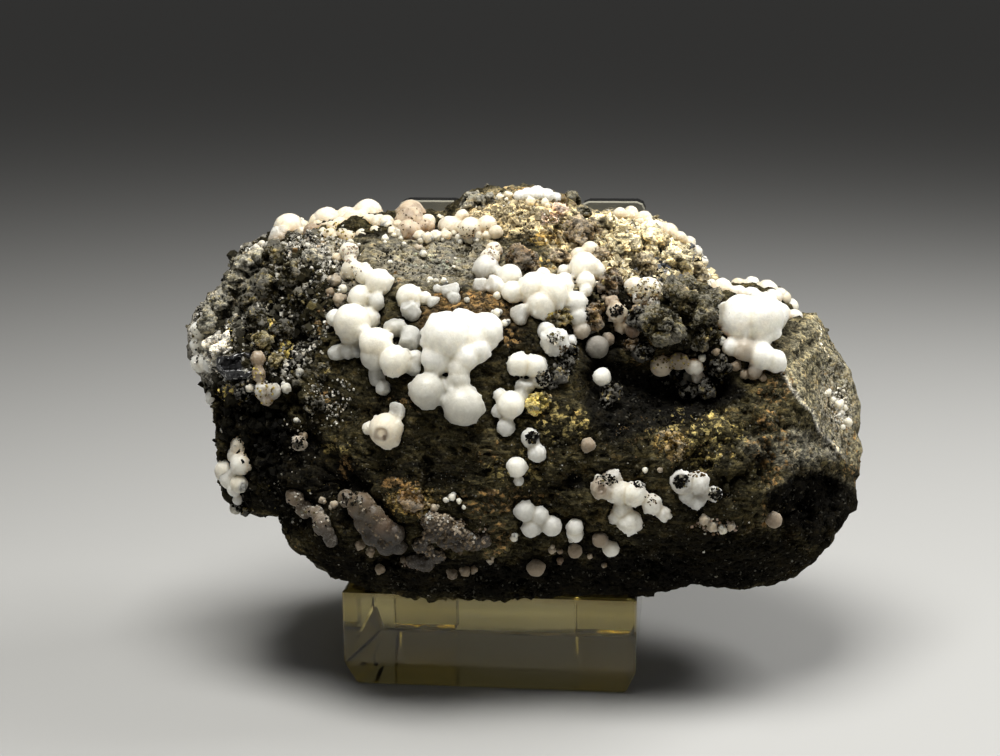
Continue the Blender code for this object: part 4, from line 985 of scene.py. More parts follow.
def rock_material(name):
    """Granular volcanic rock; its broad tone, painted shade and light included, comes from the mesh."""
    g = Graph(name)
    warped = g.shift(g.place, g.noise(0.0009, 2.0, colour=True), 0.0007)
    grain_big = g.first(g.voronoi(0.00075, vector=warped, output="Color"))
    grain_small = g.first(g.voronoi(0.00034, vector=warped, output="Color"))
    streaks = g.noise(0.0010, 6.0, 0.70, 0.5, vector=g.mapped((0.1, 0.45, 0.1), (0.30, 1.0, 1.35)))
    cloudy = g.noise(0.0052, 5.0, 0.62)
    height = g.attribute("height")
    speckle = g.math("ADD", g.math("MULTIPLY", grain_big, 0.45), g.math("MULTIPLY", grain_small, 0.55))
    crusty = g.ramp(g.attribute("frost"), 0.05, 0.60, 0.62, 1.0)
    light = g.ramp(speckle, 0.12, 0.92, -0.72, 1.05)
    light = g.math("ADD", g.math("MULTIPLY", light, crusty), 1.0)
    # painted light and shade: the streak factor lightens the crests of the streaky grain and darkens its troughs, and
    # the height factor lightens high points of the relief and darkens its hollows; the cloudy factor is random tone
    light = g.math("MULTIPLY", light, g.ramp(streaks, 0.34, 0.66, 0.30, 2.10))
    light = g.math("MULTIPLY", light, g.ramp(cloudy, 0.28, 0.74, 0.70, 1.35))
    light = g.math("MULTIPLY", light, g.ramp(height, 0.14, 0.86, 0.20, 1.75))
    tint = g.attribute("tint", "Color")
    broken = g.math("ADD", g.math("MULTIPLY", grain_big, 0.40), g.math("MULTIPLY", g.noise(0.0010, 5.0, 0.7), 0.75))
    stained = g.ramp(g.math("ADD", g.attribute("stain_share"), broken), 1.02, 1.16)
    tint = g.mix(stained, tint, g.attribute("stain", "Color"))
    warm = g.math("MULTIPLY", g.ramp(g.noise(0.0026, 6.0, 0.72), 0.53, 0.66), 0.55)
    tint = g.mix(warm, tint, g.mix(1.0, tint, (1.42, 1.14, 0.80), "MULTIPLY"))
    cool = g.math("MULTIPLY", g.ramp(g.noise(0.0021, 6.0, 0.70, vector=g.mapped(scale=(1.3, 0.9, 1.1))), 0.55, 0.68), 0.50)
    tint = g.mix(cool, tint, g.mix(1.0, tint, (0.92, 1.03, 0.96), "MULTIPLY"))
    # painted highlight: sandy lightening on the streak crests
    streak_highlight = g.ramp(streaks, 0.46, 0.66, 0.0, 0.60)
    tint = g.mix(streak_highlight, tint, g.mix(1.0, tint, (1.35, 1.18, 0.78), "MULTIPLY"))
    colour = g.mix(1.0, tint, g.grey(light), "MULTIPLY")
    dusty = g.math("MULTIPLY", g.attribute("frost"), g.ramp(g.math("ADD", height, g.math("MULTIPLY", grain_small, 0.6)), 0.75, 1.15))
    colour = g.mix(dusty, colour, TONES["frost"])
    chips = g.math("MULTIPLY", g.ramp(grain_small, 0.962, 0.985), g.ramp(g.attribute("frost"), 0.05, 0.60, 0.12, 0.50))
    colour = g.mix(chips, colour, (0.46, 0.43, 0.35))
    rough = g.ramp(grain_small, 0.15, 0.95, 0.96, 0.70)
    hills = g.math("ADD", g.math("MULTIPLY", g.voronoi(0.00075, vector=warped), -0.5), g.math("MULTIPLY", g.noise(0.00026, 3.0, 0.6), 0.55))
    hills = g.math("ADD", hills, g.math("MULTIPLY", streaks, 0.8))
    normal = g.bump(hills, 1.0, 0.00042)
    normal = g.bump(g.voronoi(0.00034, vector=warped), 0.55, -0.00012, normal)
    g.set(Base_Color=colour, Roughness=rough, Normal=normal)
    g.shader.inputs["Specular IOR Level"].default_value = 0.01
    return g.mat


def grain_material(name):
    """Loose-looking crust grains; each carries its own tone."""
    g = Graph(name)
    spots = g.noise(0.00022, 3.0, 0.6)
    colour = g.mix(1.0, g.attribute("tint", "Color"), g.grey(g.ramp(spots, 0.25, 0.78, 0.55, 1.45)), "MULTIPLY")
    worn = g.ramp(g.noise(0.0016, 3.0), 0.50, 0.68, 0.0, 0.35)
    colour = g.mix(worn, colour, g.mix(1.0, colour, (1.30, 1.10, 0.75), "MULTIPLY"))
    g.set(Base_Color=colour, Roughness=g.ramp(spots, 0.30, 0.70, 0.40, 0.85), Normal=g.bump(spots, 0.5, 0.00010))
    g.shader.inputs["Specular IOR Level"].default_value = 0.08
    return g.mat


def calcite_material(name, rough_low=0.26, rough_high=0.52, depth=1.0, soak=0.0042):
    """Waxy, slightly translucent calcite with a fine crystalline skin."""
    g = Graph(name)
    tint = g.attribute("tint", "Color")
    crease = g.attribute("crease")
    cloudy = g.noise(0.0017, 4.0, 0.6)
    fine = g.noise(0.00042, 4.0, 0.62)
    skin = g.shift(g.place, g.noise(0.0006, 2.0, colour=True), 0.0004)
    crystals = g.voronoi(0.00040, vector=skin)
    colour = g.mix(1.0, tint, g.grey(g.ramp(cloudy, 0.28, 0.74, 0.90, 1.06)), "MULTIPLY")
    colour = g.mix(1.0, colour, g.grey(g.ramp(fine, 0.30, 0.72, 0.95, 1.04)), "MULTIPLY")
    # painted shade: darker, warmer tone in the creases between beads, with random warm patches added
    warm = g.math("MULTIPLY", g.math("ADD", crease, g.math("MULTIPLY", g.ramp(g.noise(0.0026, 4.0, 0.65), 0.54, 0.74), 0.30), True), 0.60)
    colour = g.mix(warm, colour, g.mix(1.0, colour, (0.74, 0.67, 0.52), "MULTIPLY"))
    # growth scales, close together at the foot of a bead
    foot = g.attribute("foot")
    scales = g.noise(0.00034, 3.0, 0.7, 0.8)
    edges = g.voronoi(0.00052, feature="DISTANCE_TO_EDGE", vector=skin)
    pale = g.math("MULTIPLY", foot, g.ramp(scales, 0.50, 0.66, 0.0, 0.35))
    colour = g.mix(pale, colour, (0.86, 0.84, 0.78))
    specks = g.math("MULTIPLY", g.ramp(g.noise(0.00060, 2.0, 0.5), 0.765, 0.790), 0.8)
    colour = g.mix(specks, colour, (0.10, 0.085, 0.065))
    g.set(Base_Color=colour, Roughness=g.ramp(fine, 0.25, 0.75, rough_low, rough_high))
    hills = g.math("ADD", g.math("MULTIPLY", crystals, -0.7), g.math("MULTIPLY", fine, 0.8))
    hills = g.math("ADD", hills, g.math("MULTIPLY", g.math("ADD", g.ramp(edges, 0.0, 0.10), scales), g.math("ADD", g.math("MULTIPLY", foot, 1.1), 0.12)))
    g.set(Normal=g.bump(hills, 0.50, 0.00010 * depth))
    g.shader.inputs["Subsurface Weight"].default_value = 1.0
    g.shader.inputs["Subsurface Radius"].default_value = (1.0, 0.95, 0.88)
    g.shader.inputs["Subsurface Scale"].default_value = soak
    g.shader.inputs["Specular IOR Level"].default_value = 0.50
    return g.mat


def crystal_material(name):
    """Black glassy mineral, dulled by pale frosting at its edges."""
    g = Graph(name)
    frost = g.attribute("frost")
    ragged = g.ramp(g.math("ADD", frost, g.math("MULTIPLY", g.noise(0.0006, 4.0, 0.65), 0.45)), 0.70, 0.98)
    sheet_lines = g.noise(0.0011, 4.0, 0.6, vector=g.mapped((0.5, 0.2, 0.3), (1.0, 0.25, 1.0)))
    dark = g.mix(g.ramp(sheet_lines, 0.35, 0.75), (0.008, 0.008, 0.009), (0.050, 0.050, 0.052))
    g.set(
        Base_Color=g.mix(ragged, dark, (0.50, 0.50, 0.48)),
        Roughness=g.ramp(g.math("ADD", ragged, g.math("MULTIPLY", sheet_lines, 0.3)), 0.1, 1.0, 0.14, 0.60),
        Normal=g.bump(sheet_lines, 0.5, 0.00018),
    )
    return g.mat


def acrylic_material(name, haze=0.0):
    """Clear acrylic, yellowed, with fine scratches and a little grime."""
    g = Graph(name)
    scratch = g.noise(0.0011, 3.0, 0.7, vector=g.mapped((0.0, 0.0, 0.6), (0.06, 1.0, 1.0)))
    clouds = g.noise(0.0075, 4.0, 0.6)
    grime = g.math("MULTIPLY", g.ramp(clouds, 0.50, 0.74), 0.30)
    split = g.new("ShaderNodeSeparateXYZ")
    g.put(split.inputs[0], g.place)
    edge = g.math("ABSOLUTE", g.math("SUBTRACT", split.outputs["Z"], BLOCK_HEIGHT - 0.0006))
    edge = g.ramp(g.math("ADD", edge, g.math("MULTIPLY", clouds, 0.0012)), 0.0006, 0.0018, 0.75, 0.0)
    g.set(
        Base_Color=g.mix(edge, g.mix(grime, (0.975, 0.955, 0.860), (0.90, 0.83, 0.62)), (0.42, 0.30, 0.16)),
        Roughness=g.math("ADD", g.ramp(scratch, 0.45, 0.80, 0.015, 0.10), g.math("MULTIPLY", g.math("ADD", grime, edge), 0.25)),
        Normal=g.bump(scratch, 0.10, 0.00006),
    )
    g.shader.inputs["Transmission Weight"].default_value = 1.0
    g.shader.inputs["IOR"].default_value = 1.49
    soak = g.new("ShaderNodeVolumeAbsorption")
    soak.inputs["Color"].default_value = (0.76, 0.71, 0.42, 1.0)
    soak.inputs["Density"].default_value = 62.0
    out = g.tree.nodes["Material Output"]
    g.tree.links.new(soak.outputs["Volume"], out.inputs["Volume"])
    return g.mat


# ------------------------------------------------------------ mesh helpers
def object_from(name, verts, faces, mat, smooth=True):
    mesh = bpy.data.meshes.new(name)
    mesh.from_pydata(verts, [], faces)
    mesh.materials.append(mat)
    if smooth:
        mesh.shade_smooth()
    obj = bpy.data.objects.new(name, mesh)
    bpy.context.scene.collection.objects.link(obj)
    return obj


def put_colour(mesh, name, values):
    """values: (count, 3) linear colours of the points."""
    rgba = np.ones((len(mesh.vertices), 4), np.float32)
    rgba[:, :3] = values
    layer = mesh.attributes.new(name, "FLOAT_COLOR", "POINT")
    layer.data.foreach_set("color", rgba.ravel())


def put_value(mesh, name, values):
    layer = mesh.attributes.new(name, "FLOAT", "POINT")
    layer.data.foreach_set("value", np.asarray(values, np.float32))


def points_of(mesh):
    co = np.zeros(len(mesh.vertices) * 3, np.float32)
    mesh.vertices.foreach_get("co", co)
    return co.reshape(-1, 3).astype(float)


def normals_of(mesh):
    out = np.zeros(len(mesh.vertices) * 3, np.float32)
    mesh.vertices.foreach_get("normal", out)
    return out.reshape(-1, 3).astype(float)


def sheet_of(co):
    """Sheet coordinates and depth of points in space."""
    q = co - np.array(EYE)
    depth = q @ np.array(FORWARD)
    return (
        MID_X + FOCUS * (q @ np.array(RIGHT)) / depth,
        MID_Y - FOCUS * (q @ np.array(UP)) / depth,
        depth,
    )


def smooth_array(a, b, x):
    t = np.clip((x - a) / (b - a), 0.0, 1.0)
    return t * t * (3.0 - 2.0 * t)


def facet(q, size, tilt):
    """Height of small broken planes about size wide, each leaning its own way."""
    _, cells = noise.voronoi(q / size)
    return (q / size - cells[0]).dot(noise.noise_vector(cells[0] * 7.31)) * tilt * size


def ellipse(across, down, x, y, rx, ry):
    return smooth(1.25, 0.55, math.sqrt(((across - x) / rx) ** 2 + ((down - y) / ry) ** 2))


# ------------------------------------------------------------ matrix
STREAK_A = (RIGHT * math.cos(math.radians(24)) - UP * math.sin(math.radians(24)))
STREAK_B = (RIGHT * math.sin(math.radians(24)) + UP * math.cos(math.radians(24)))


def relief(p, across, down, front):
    """Millimetres of fine relief of the matrix at p (mm)."""
    crust = max(ellipse(across, down, 268, 300, 92, 84), ellipse(across, down, 250, 400, 60, 90)) * front
    lumps = max(ellipse(across, down, 640, 256, 92, 54), ellipse(across, down, 680, 320, 48, 50),
                ellipse(across, down, 590, 300, 50, 50)) * front
    smooth_end = ellipse(across, down, 832, 390, 40, 76) * front
    broken = ellipse(across, down, 760, 460, 100, 80) * front + 0.6 * (1.0 - front)
    plain = max(0.0, 1.0 - crust - lumps) * (1.0 - 0.7 * smooth_end)
    warp = noise.noise_vector(p * 0.35) * 0.9
    q = p + warp
    s = Vector((q.dot(STREAK_A) / 3.4, q.dot(STREAK_B) / 1.0, q.dot(FORWARD) / 1.3))
    streak = (1.0 - 2.2 * abs(noise.noise(s))) * 0.50 + (0.5 - abs(noise.noise(s * 2.3))) * 0.46
    total = plain * streak
    total += facet(q, 5.2, 0.44) * (0.45 + 0.75 * broken) * (1.0 - 0.8 * smooth_end)
    total += facet(q, 1.7, 0.66) * (0.60 + 0.5 * crust + 0.3 * broken) * (1.0 - 0.6 * smooth_end)
    total += noise.noise(q / 2.6) * 0.20 + noise.noise(q / 0.62) * 0.12
    total += (0.5 - abs(noise.noise(q / 1.1 + Vector((5.0, 1.0, 3.0)))) * 1.8) * 0.26 * plain
    if crust + lumps > 0.02:
        rough = crust + lumps
        total += (crust + 0.7 * lumps) * (facet(q, 3.1, 0.75) + facet(q + warp * 2.0, 1.15, 1.00))
        lump = 0.50 - noise.voronoi(q / 2.6 + noise.noise_vector(q * 0.9) * 0.35)[0][0]
        total += lumps * lump * 0.7 + crust * lump * 1.0
        gap = noise.voronoi(q / 2.0)[0]
        total -= rough * max(0.0, 0.16 - (gap[1] - gap[0])) * 3.2
    pit = noise.noise(q / 1.9 + Vector((9.0, 2.0, 4.0)))
    if pit < -0.42:
        total += (pit + 0.42) * (2.4 + 3.2 * crust)
    return total


def ledge_fall(across, down):
    """Millimetres that the face falls back below the LEDGES."""
    total = np.zeros(len(across))
    for points, drop, slope, reach in LEDGES:
        best = np.full(len(across), 1e9)
        side = np.zeros(len(across))
        beyond = np.zeros(len(across))
        last = len(points) - 2
        for k, ((x0, y0), (x1, y1)) in enumerate(zip(points, points[1:])):
            dx, dy = x1 - x0, y1 - y0
            length = math.hypot(dx, dy)
            t = ((across - x0) * dx + (down - y0) * dy) / length
            inside = np.clip(t, 0.0, length)
            d = np.hypot(across - x0 - dx / length * inside, down - y0 - dy / length * inside)
            nearer = d < best
            best = np.where(nearer, d, best)
            cross = (dx * (down - y0) - dy * (across - x0)) / length
            side = np.where(nearer, cross, side)
            out = np.zeros(len(across))
            if k == 0:
                out = np.maximum(out, -t)
            if k == last:
                out = np.maximum(out, t - length)
            beyond = np.where(nearer, out, beyond)
        if slope > 20.0:
            # a broken face: straight slope from a crisp edge with a slight crest
            w = np.clip(side / slope, 0.0, 1.0) - 0.16 * np.exp(-(side / 7.0) ** 2)
        else:
            w = smooth_array(-1.0, slope, side) - 0.10 * np.exp(-((side + 3.0) / 5.0) ** 2)
        w = w * smooth_array(reach, reach * 0.35, np.abs(side)) * smooth_array(16.0, 0.0, beyond)
        total += drop * w
    return total


def border_distance(across, down, points):
    """Sheet distance to a closed border, positive inside it."""
    best = np.full(len(across), 1e9)
    inside = np.zeros(len(across), bool)
    for (x0, y0), (x1, y1) in zip(points, points[1:] + points[:1]):
        dx, dy = x1 - x0, y1 - y0
        t = np.clip(((across - x0) * dx + (down - y0) * dy) / (dx * dx + dy * dy), 0.0, 1.0)
        best = np.minimum(best, np.hypot(across - x0 - dx * t, down - y0 - dy * t))
        if dy:
            crosses = (y0 > down) != (y1 > down)
            inside ^= crosses & (across < dx * (down - y0) / dy + x0)
    return np.where(inside, best, -best)


def tint_points(co, front, seed):
    """Broad tones of matrix points, painted shade and light included, from ZONES in front and plain basalt behind."""
    across, down, _ = sheet_of(co)
    warp = np.array([noise.noise(Vector(p) * 260.0 + Vector((seed, 0, 0))) for p in co])
    wander = np.array([noise.noise(Vector(p) * 90.0 + Vector((0, seed, 0))) for p in co])
    base = np.tile(tone("basalt"), (len(co), 1))
    pale = smooth_array(0.05, 0.45, wander)[:, None]
    dim = smooth_array(0.05, 0.45, -wander)[:, None]
    lighter = tone("grey") * (1 - front)[:, None] + tone("basalt_mid") * 1.6 * front[:, None]
    base = base * (1 - 0.5 * pale) + lighter * 0.5 * pale
    base = base * (1 - 0.5 * dim) + tone("basalt_dark") * 0.5 * dim
    high = smooth_array(0.060, 0.082, co[:, 2])[:, None] * (1 - front)[:, None] * 0.6
    base = base * (1 - high) + tone("basalt_pale") * high
    for x, y, rx, ry, name, strength in ZONES:
        d = np.sqrt(((across - x) / rx) ** 2 + ((down - y) / ry) ** 2) + 0.45 * warp
        w = (smooth_array(1.20, 0.62, d) * strength * front)[:, None]
        base = base * (1 - w) + tone(name) * w
    for points, name, strength, width in PATCHES:
        d = border_distance(across, down, points) + width * 1.6 * warp
        w = (smooth_array(-width, width, d) * strength * front)[:, None]
        base = base * (1 - w) + tone(name) * w
    for points, width, name, strength in LINES:
        best = np.full(len(co), 1e9)
        for (x0, y0), (x1, y1) in zip(points, points[1:]):
            dx, dy = x1 - x0, y1 - y0
            t = np.clip(((across - x0) * dx + (down - y0) * dy) / (dx * dx + dy * dy), 0.0, 1.0)
            best = np.minimum(best, np.hypot(across - x0 - dx * t, down - y0 - dy * t))
        w = (smooth_array(width * 1.5, width * 0.4, best + 2.0 * np.abs(warp)) * strength * front)[:, None]
        base = base * (1 - w) + tone(name) * w
    stain = np.tile(tone("rust"), (len(co), 1))
    # stains thin out where the tone is dark, which includes the painted shade
    lit = smooth_array(0.004, 0.022, base.mean(axis=1))
    share = (0.16 + 0.22 * smooth_array(0.0, 0.5, wander)) * (0.25 + 0.75 * lit)
    for x, y, rx, ry, name, strength in STAINS:
        d = np.sqrt(((across - x) / rx) ** 2 + ((down - y) / ry) ** 2) + 0.30 * warp
        w = smooth_array(1.35, 0.40, d) * strength * front
        over = w > share
        share = np.where(over, w, share)
        stain = np.where(over[:, None], tone(name)[None], stain)
    return base, stain, share


def make_matrix(mat, beads):
    bm = bmesh.new()
    bmesh.ops.create_icosphere(bm, subdivisions=7, radius=1.0)
    near = [e for e in bm.edges if min(v.co.z for v in e.verts) > 0.10]
    bmesh.ops.subdivide_edges(bm, edges=near, cuts=1, use_grid_fill=True)
    bmesh.ops.triangulate(bm, faces=bm.faces[:])
    ways = [v.co.normalized() for v in bm.verts]
    for v, n in zip(bm.verts, ways):
        v.co = rock_point(n)
    bmesh.ops.recalc_face_normals(bm, faces=bm.faces[:])
    mesh = bpy.data.meshes.new("matrix_rock")
    bm.to_mesh(mesh)
    bm.free()
    front = smooth_array(-0.20, 0.10, np.array([n.z for n in ways]))
    facing = smooth_array(0.06, 0.30, np.array([n.z for n in ways]))
    floor = BLOCK_HEIGHT + 0.5 * GAP

    # edges and the falls below them
    co = points_of(mesh)
    across, down, _ = sheet_of(co)
    fall = ledge_fall(across, down) * facing
    co += np.array(FORWARD)[None] * (fall * MM)[:, None]
    mesh.vertices.foreach_set("co", co.astype(np.float32).ravel())
    mesh.update()

    # fine relief along the normal, held back beside the calcite
    normals = normals_of(mesh)
    rise = np.array([
        relief(Vector(p) * 1000.0, a, d, f) for p, a, d, f in zip(co, across, down, front)
    ])
    centres = np.array([c for c, _ in beads])
    sizes = np.array([s for _, s in beads])
    near_bead = np.empty(len(co))
    for k in range(0, len(co), 4000):
        part = co[k:k + 4000]
        near_bead[k:k + 4000] = (np.linalg.norm(part[:, None] - centres[None], axis=2) - sizes[None]).min(axis=1)
    held = smooth_array(0.0012, 0.0, near_bead)
    rise = rise * (1.0 - 0.75 * held) - 0.25 * held
    resting = (co[:, 2] < floor + 0.0004) | (co[:, 1] > BLOCK_BACK - 0.0004)
    rise = np.where(resting, np.minimum(rise, 0.0), rise)
    co = co + normals * (rise * MM)[:, None]
    co[:, 2] = np.maximum(co[:, 2], floor)
    co[:, 1] = np.minimum(co[:, 1], BLOCK_BACK)
    mesh.vertices.foreach_set("co", co.astype(np.float32).ravel())
    mesh.update()
    mesh.shade_smooth()
    mesh.materials.append(mat)
    obj = bpy.data.objects.new("matrix_rock", mesh)
    bpy.context.scene.collection.objects.link(obj)

    co = points_of(mesh)
    across, down, _ = sheet_of(co)
    frost = np.where(front > 0.5, 0.010, 0.050)
    for x, y, rx, ry, amount in ((280, 275, 80, 50, 0.75), (210, 340, 26, 50, 0.95), (435, 258, 80, 30, 0.22),
                                 (640, 250, 90, 44, 0.50), (680, 312, 40, 36, 0.55), (836, 400, 22, 60, 0.40),
                                 (250, 350, 60, 50, 0.60)):
        d = np.sqrt(((across - x) / rx) ** 2 + ((down - y) / ry) ** 2)
        frost = np.maximum(frost, smooth_array(1.2, 0.5, d) * amount * front)
    base, stain, share = tint_points(co, front, 3.7)
    put_colour(mesh, "tint", base)
    put_colour(mesh, "stain", stain)
    put_value(mesh, "stain_share", share)
    put_value(mesh, "height", np.clip(0.5 + rise / 1.6, 0.0, 1.0))
    put_value(mesh, "frost", frost)
    return obj


def make_nubs(tree, mat):
    """Rough lumps that stand out of the matrix."""
    heap = Heap()
    tints, heights = [], []
    for number, (across, down, radius, seat, name) in enumerate(NUBS):
        centre, size = seat_bead(tree, across, down, radius, seat)
        seed = Vector((number * 3.7, number * 1.9, 4.1))
        colour = tone(name)

        def place(way):
            k = 1.0 + 0.40 * noise.noise(way * 0.9 + seed) + 0.16 * noise.noise(way * 2.3 + seed)
            k += facet(way + seed, 0.80, 0.85) + facet(way + seed * 2.0, 0.34, 0.85)
            k += facet(way + seed * 3.0, 4.0 / radius, 0.9)
            shade = 0.80 + 0.45 * noise.noise(way * 2.0 + seed * 2.0)
            tints.append(colour * shade)
            heights.append(min(1.0, max(0.0, 0.5 + (k - 1.0) * 1.5)))
            return centre + way * (size * k)

        heap.add(6 if radius >= 30 else 5 if radius >= 14 else 4, place)
    mesh = heap.mesh("matrix_nubs")
    mesh.shade_smooth()
    mesh.materials.append(mat)
    obj = bpy.data.objects.new("matrix_nubs", mesh)
    bpy.context.scene.collection.objects.link(obj)
    put_colour(mesh, "tint", np.array(tints))
    put_colour(mesh, "stain", np.tile(tone("olive"), (len(tints), 1)))
    put_value(mesh, "stain_share", np.full(len(tints), 0.30))
    put_value(mesh, "height", heights)
    put_value(mesh, "frost", np.full(len(heights), 0.20))
    return obj


CUBE = np.array([[x, y, z] for x in (-1, 1) for y in (-1, 1) for z in (-1, 1)], float) * 0.5
CUBE_FACES = np.array([[0, 1, 3, 2], [4, 6, 7, 5], [0, 4, 5, 1], [2, 3, 7, 6], [0, 2, 6, 4], [1, 5, 7, 3]])


def turns(rng, count):
    """Random rotation matrices."""
    q = rng.normal(size=(count, 4))
    q /= np.linalg.norm(q, axis=1)[:, None]
    w, x, y, z = q.T
    return np.stack([
        np.stack([1 - 2 * (y * y + z * z), 2 * (x * y - z * w), 2 * (x * z + y * w)], 1),
        np.stack([2 * (x * y + z * w), 1 - 2 * (x * x + z * z), 2 * (y * z - x * w)], 1),
        np.stack([2 * (x * z - y * w), 2 * (y * z + x * w), 1 - 2 * (x * x + y * y)], 1),
    ], 1)


def grains_object(name, spots, rng, mat):
    """One mesh of small crystals at spots: (place, normal, size, colour)."""
    count = len(spots)
    place = np.array([s[0] for s in spots])
    normal = np.array([s[1] for s in spots])
    size = np.array([s[2] for s in spots])
    colour = np.array([s[3] for s in spots])
    spin = turns(rng, count)
    stretch = rng.uniform(0.55, 1.25, size=(count, 1, 3))
    jitter = rng.uniform(-0.16, 0.16, size=(count, 8, 3))
    local = (CUBE[None] + jitter) * stretch * size[:, None, None]
    verts = np.einsum("nij,nkj->nki", spin, local) + (place + normal * (size * 0.12)[:, None])[:, None, :]
    faces = (CUBE_FACES[None] + (np.arange(count) * 8)[:, None, None]).reshape(-1, 4)
    mesh = bpy.data.meshes.new(name)
    mesh.from_pydata(verts.reshape(-1, 3).tolist(), [], faces.tolist())
    mesh.materials.append(mat)
    put_colour(mesh, "tint", np.repeat(colour, 8, axis=0))
    obj = bpy.data.objects.new(name, mesh)
    bpy.context.scene.collection.objects.link(obj)
    return obj


def make_grains(tree, mat):
    rng = np.random.default_rng(11)
    spots, borrowed = [], []
    for across, down, rx, ry, count, low, high, mixture in CLUSTERS:
        names = [n for n, _ in MIXTURES[mixture]]
        odds = np.array([o for _, o in MIXTURES[mixture]])
        kinds = rng.choice(len(names), size=count, p=odds / odds.sum())
        angle = rng.uniform(0, 2 * math.pi, count)
        far = np.sqrt(rng.uniform(0, 1, count)) * (0.75 + 0.35 * rng.uniform(0, 1, count))
        sizes = low + (high - low) * rng.uniform(0, 1, count) ** 1.8
        shade = rng.uniform(0.65, 1.30, count)
        for a, f, k, s, b in zip(angle, far, kinds, sizes, shade):
            x, y = across + rx * f * math.cos(a), down + ry * f * math.sin(a)
            if noise.noise(Vector((x * 0.11, y * 0.11, across * 0.01))) < -0.12:
                continue
            hit, normal, _, _ = tree.ray_cast(EYE, ray(x, y).normalized())
            if hit is None:
                continue
            if mixture == "own":
                borrowed.append(len(spots))
            spots.append((hit, normal, s * MM, tone(names[k]) * b))
    # these take the tone of the rock around them, painted shade included
    places = np.array([spots[i][0] for i in borrowed])
    base, stain, share = tint_points(places, np.ones(len(places)), 3.7)
    pick = (rng.uniform(0, 1, len(places)) < (share - 0.30) * 1.2)[:, None]
    base = np.where(pick, stain, base) * rng.uniform(0.50, 1.60, len(places))[:, None]
    for i, colour in zip(borrowed, base):
        spots[i] = (*spots[i][:3], colour)
    # the hidden side gets a thinner scatter
    names = [n for n, _ in MIXTURES["hidden"]]
    odds = np.array([o for _, o in MIXTURES["hidden"]])
    for _ in range(2600):
        way = Vector(rng.normal(size=3)).normalized()
        start = at(ROCK_MID[0], ROCK_MID[1], ROCK_DEPTH + 0.004) + way * 0.15
        hit, normal, _, _ = tree.ray_cast(start, -way)
        if hit is None or normal.dot(FORWARD) < 0.15 or hit.z < BLOCK_HEIGHT + 0.001:
            continue
        name = names[rng.choice(len(names), p=odds / odds.sum())]
        spots.append((hit, normal, rng.uniform(0.25, 0.7) * MM, tone(name) * rng.uniform(0.7, 1.25)))
    half = len(spots) // 2
    order = rng.permutation(len(spots))
    spots = [spots[i] for i in order]
    return [grains_object("matrix_crust_grains_a", spots[:half], rng, mat),
            grains_object("matrix_crust_grains_b", spots[half:], rng, mat)]


def make_crumbs(pieces, mat):
    """Crumbs of matrix and small crystals that sit on the calcite."""
    rng = np.random.default_rng(17)
    trees, spots = {}, []
    for group, across, down, rx, ry, count, low, high, mixture in CRUMBS:
        if group not in trees:
            trees[group] = tree_of(pieces[group].data)
        names = [n for n, _ in MIXTURES[mixture]]
        odds = np.array([o for _, o in MIXTURES[mixture]])
        for _ in range(count):
            angle, far = rng.uniform(0, 2 * math.pi), math.sqrt(rng.uniform(0, 1))
            x, y = across + rx * far * math.cos(angle), down + ry * far * math.sin(angle)
            hit, normal, _, _ = trees[group].ray_cast(EYE, ray(x, y).normalized())
            kind = rng.choice(len(names), p=odds / odds.sum())
            size, shade = rng.uniform(low, high), rng.uniform(0.65, 1.25)
            if hit is not None:
                spots.append((hit, normal, size * MM, tone(names[kind]) * shade))
    return grains_object("calcite_crumbs", spots, rng, mat)


# ------------------------------------------------------------ calcite
VOXEL = 0.00029


TEMPLATES = {}


def ball(subdivisions):
    """Points and faces of a unit ball."""
    if subdivisions not in TEMPLATES:
        bm = bmesh.new()
        bmesh.ops.create_icosphere(bm, subdivisions=subdivisions, radius=1.0)
        bm.verts.index_update()
        TEMPLATES[subdivisions] = ([v.co.normalized() for v in bm.verts], [tuple(v.index for v in f.verts) for f in bm.faces])
        bm.free()
    return TEMPLATES[subdivisions]


class Heap:
    """Points and faces of many small bodies, gathered for one mesh."""

    def __init__(self):
        self.verts, self.faces = [], []

    def add(self, subdivisions, place):
        ways, faces = ball(subdivisions)
        start = len(self.verts)
        self.verts.extend(place(way) for way in ways)
        self.faces.extend(tuple(start + i for i in f) for f in faces)

    def mesh(self, name):
        mesh = bpy.data.meshes.new(name)
        mesh.from_pydata(self.verts, [], self.faces)
        return mesh


def add_bead(heap, centre, size, seed, angular, subdivisions=0):
    planes = []
    if angular and not subdivisions:
        rng = random.Random(int(seed.x * 100 + seed.y * 37))
        for _ in range(11):
            planes.append((Vector((rng.gauss(0, 1), rng.gauss(0, 1), rng.gauss(0, 1))).normalized(), rng.uniform(0.68, 1.05)))

    def place(way):
        if planes:
            # a body of flat faces
            k = min([1.30] + [d / way.dot(n) for n, d in planes if way.dot(n) > 0.05])
        elif angular:
            k = 1.06 + 0.26 * noise.noise(way * 1.6 + seed)
        else:
            k = 1.0 + 0.060 * noise.noise(way * 1.2 + seed) + 0.022 * noise.noise(way * 3.4 + seed)
        return centre + way * (size * k)

    heap.add(subdivisions or 4, place)


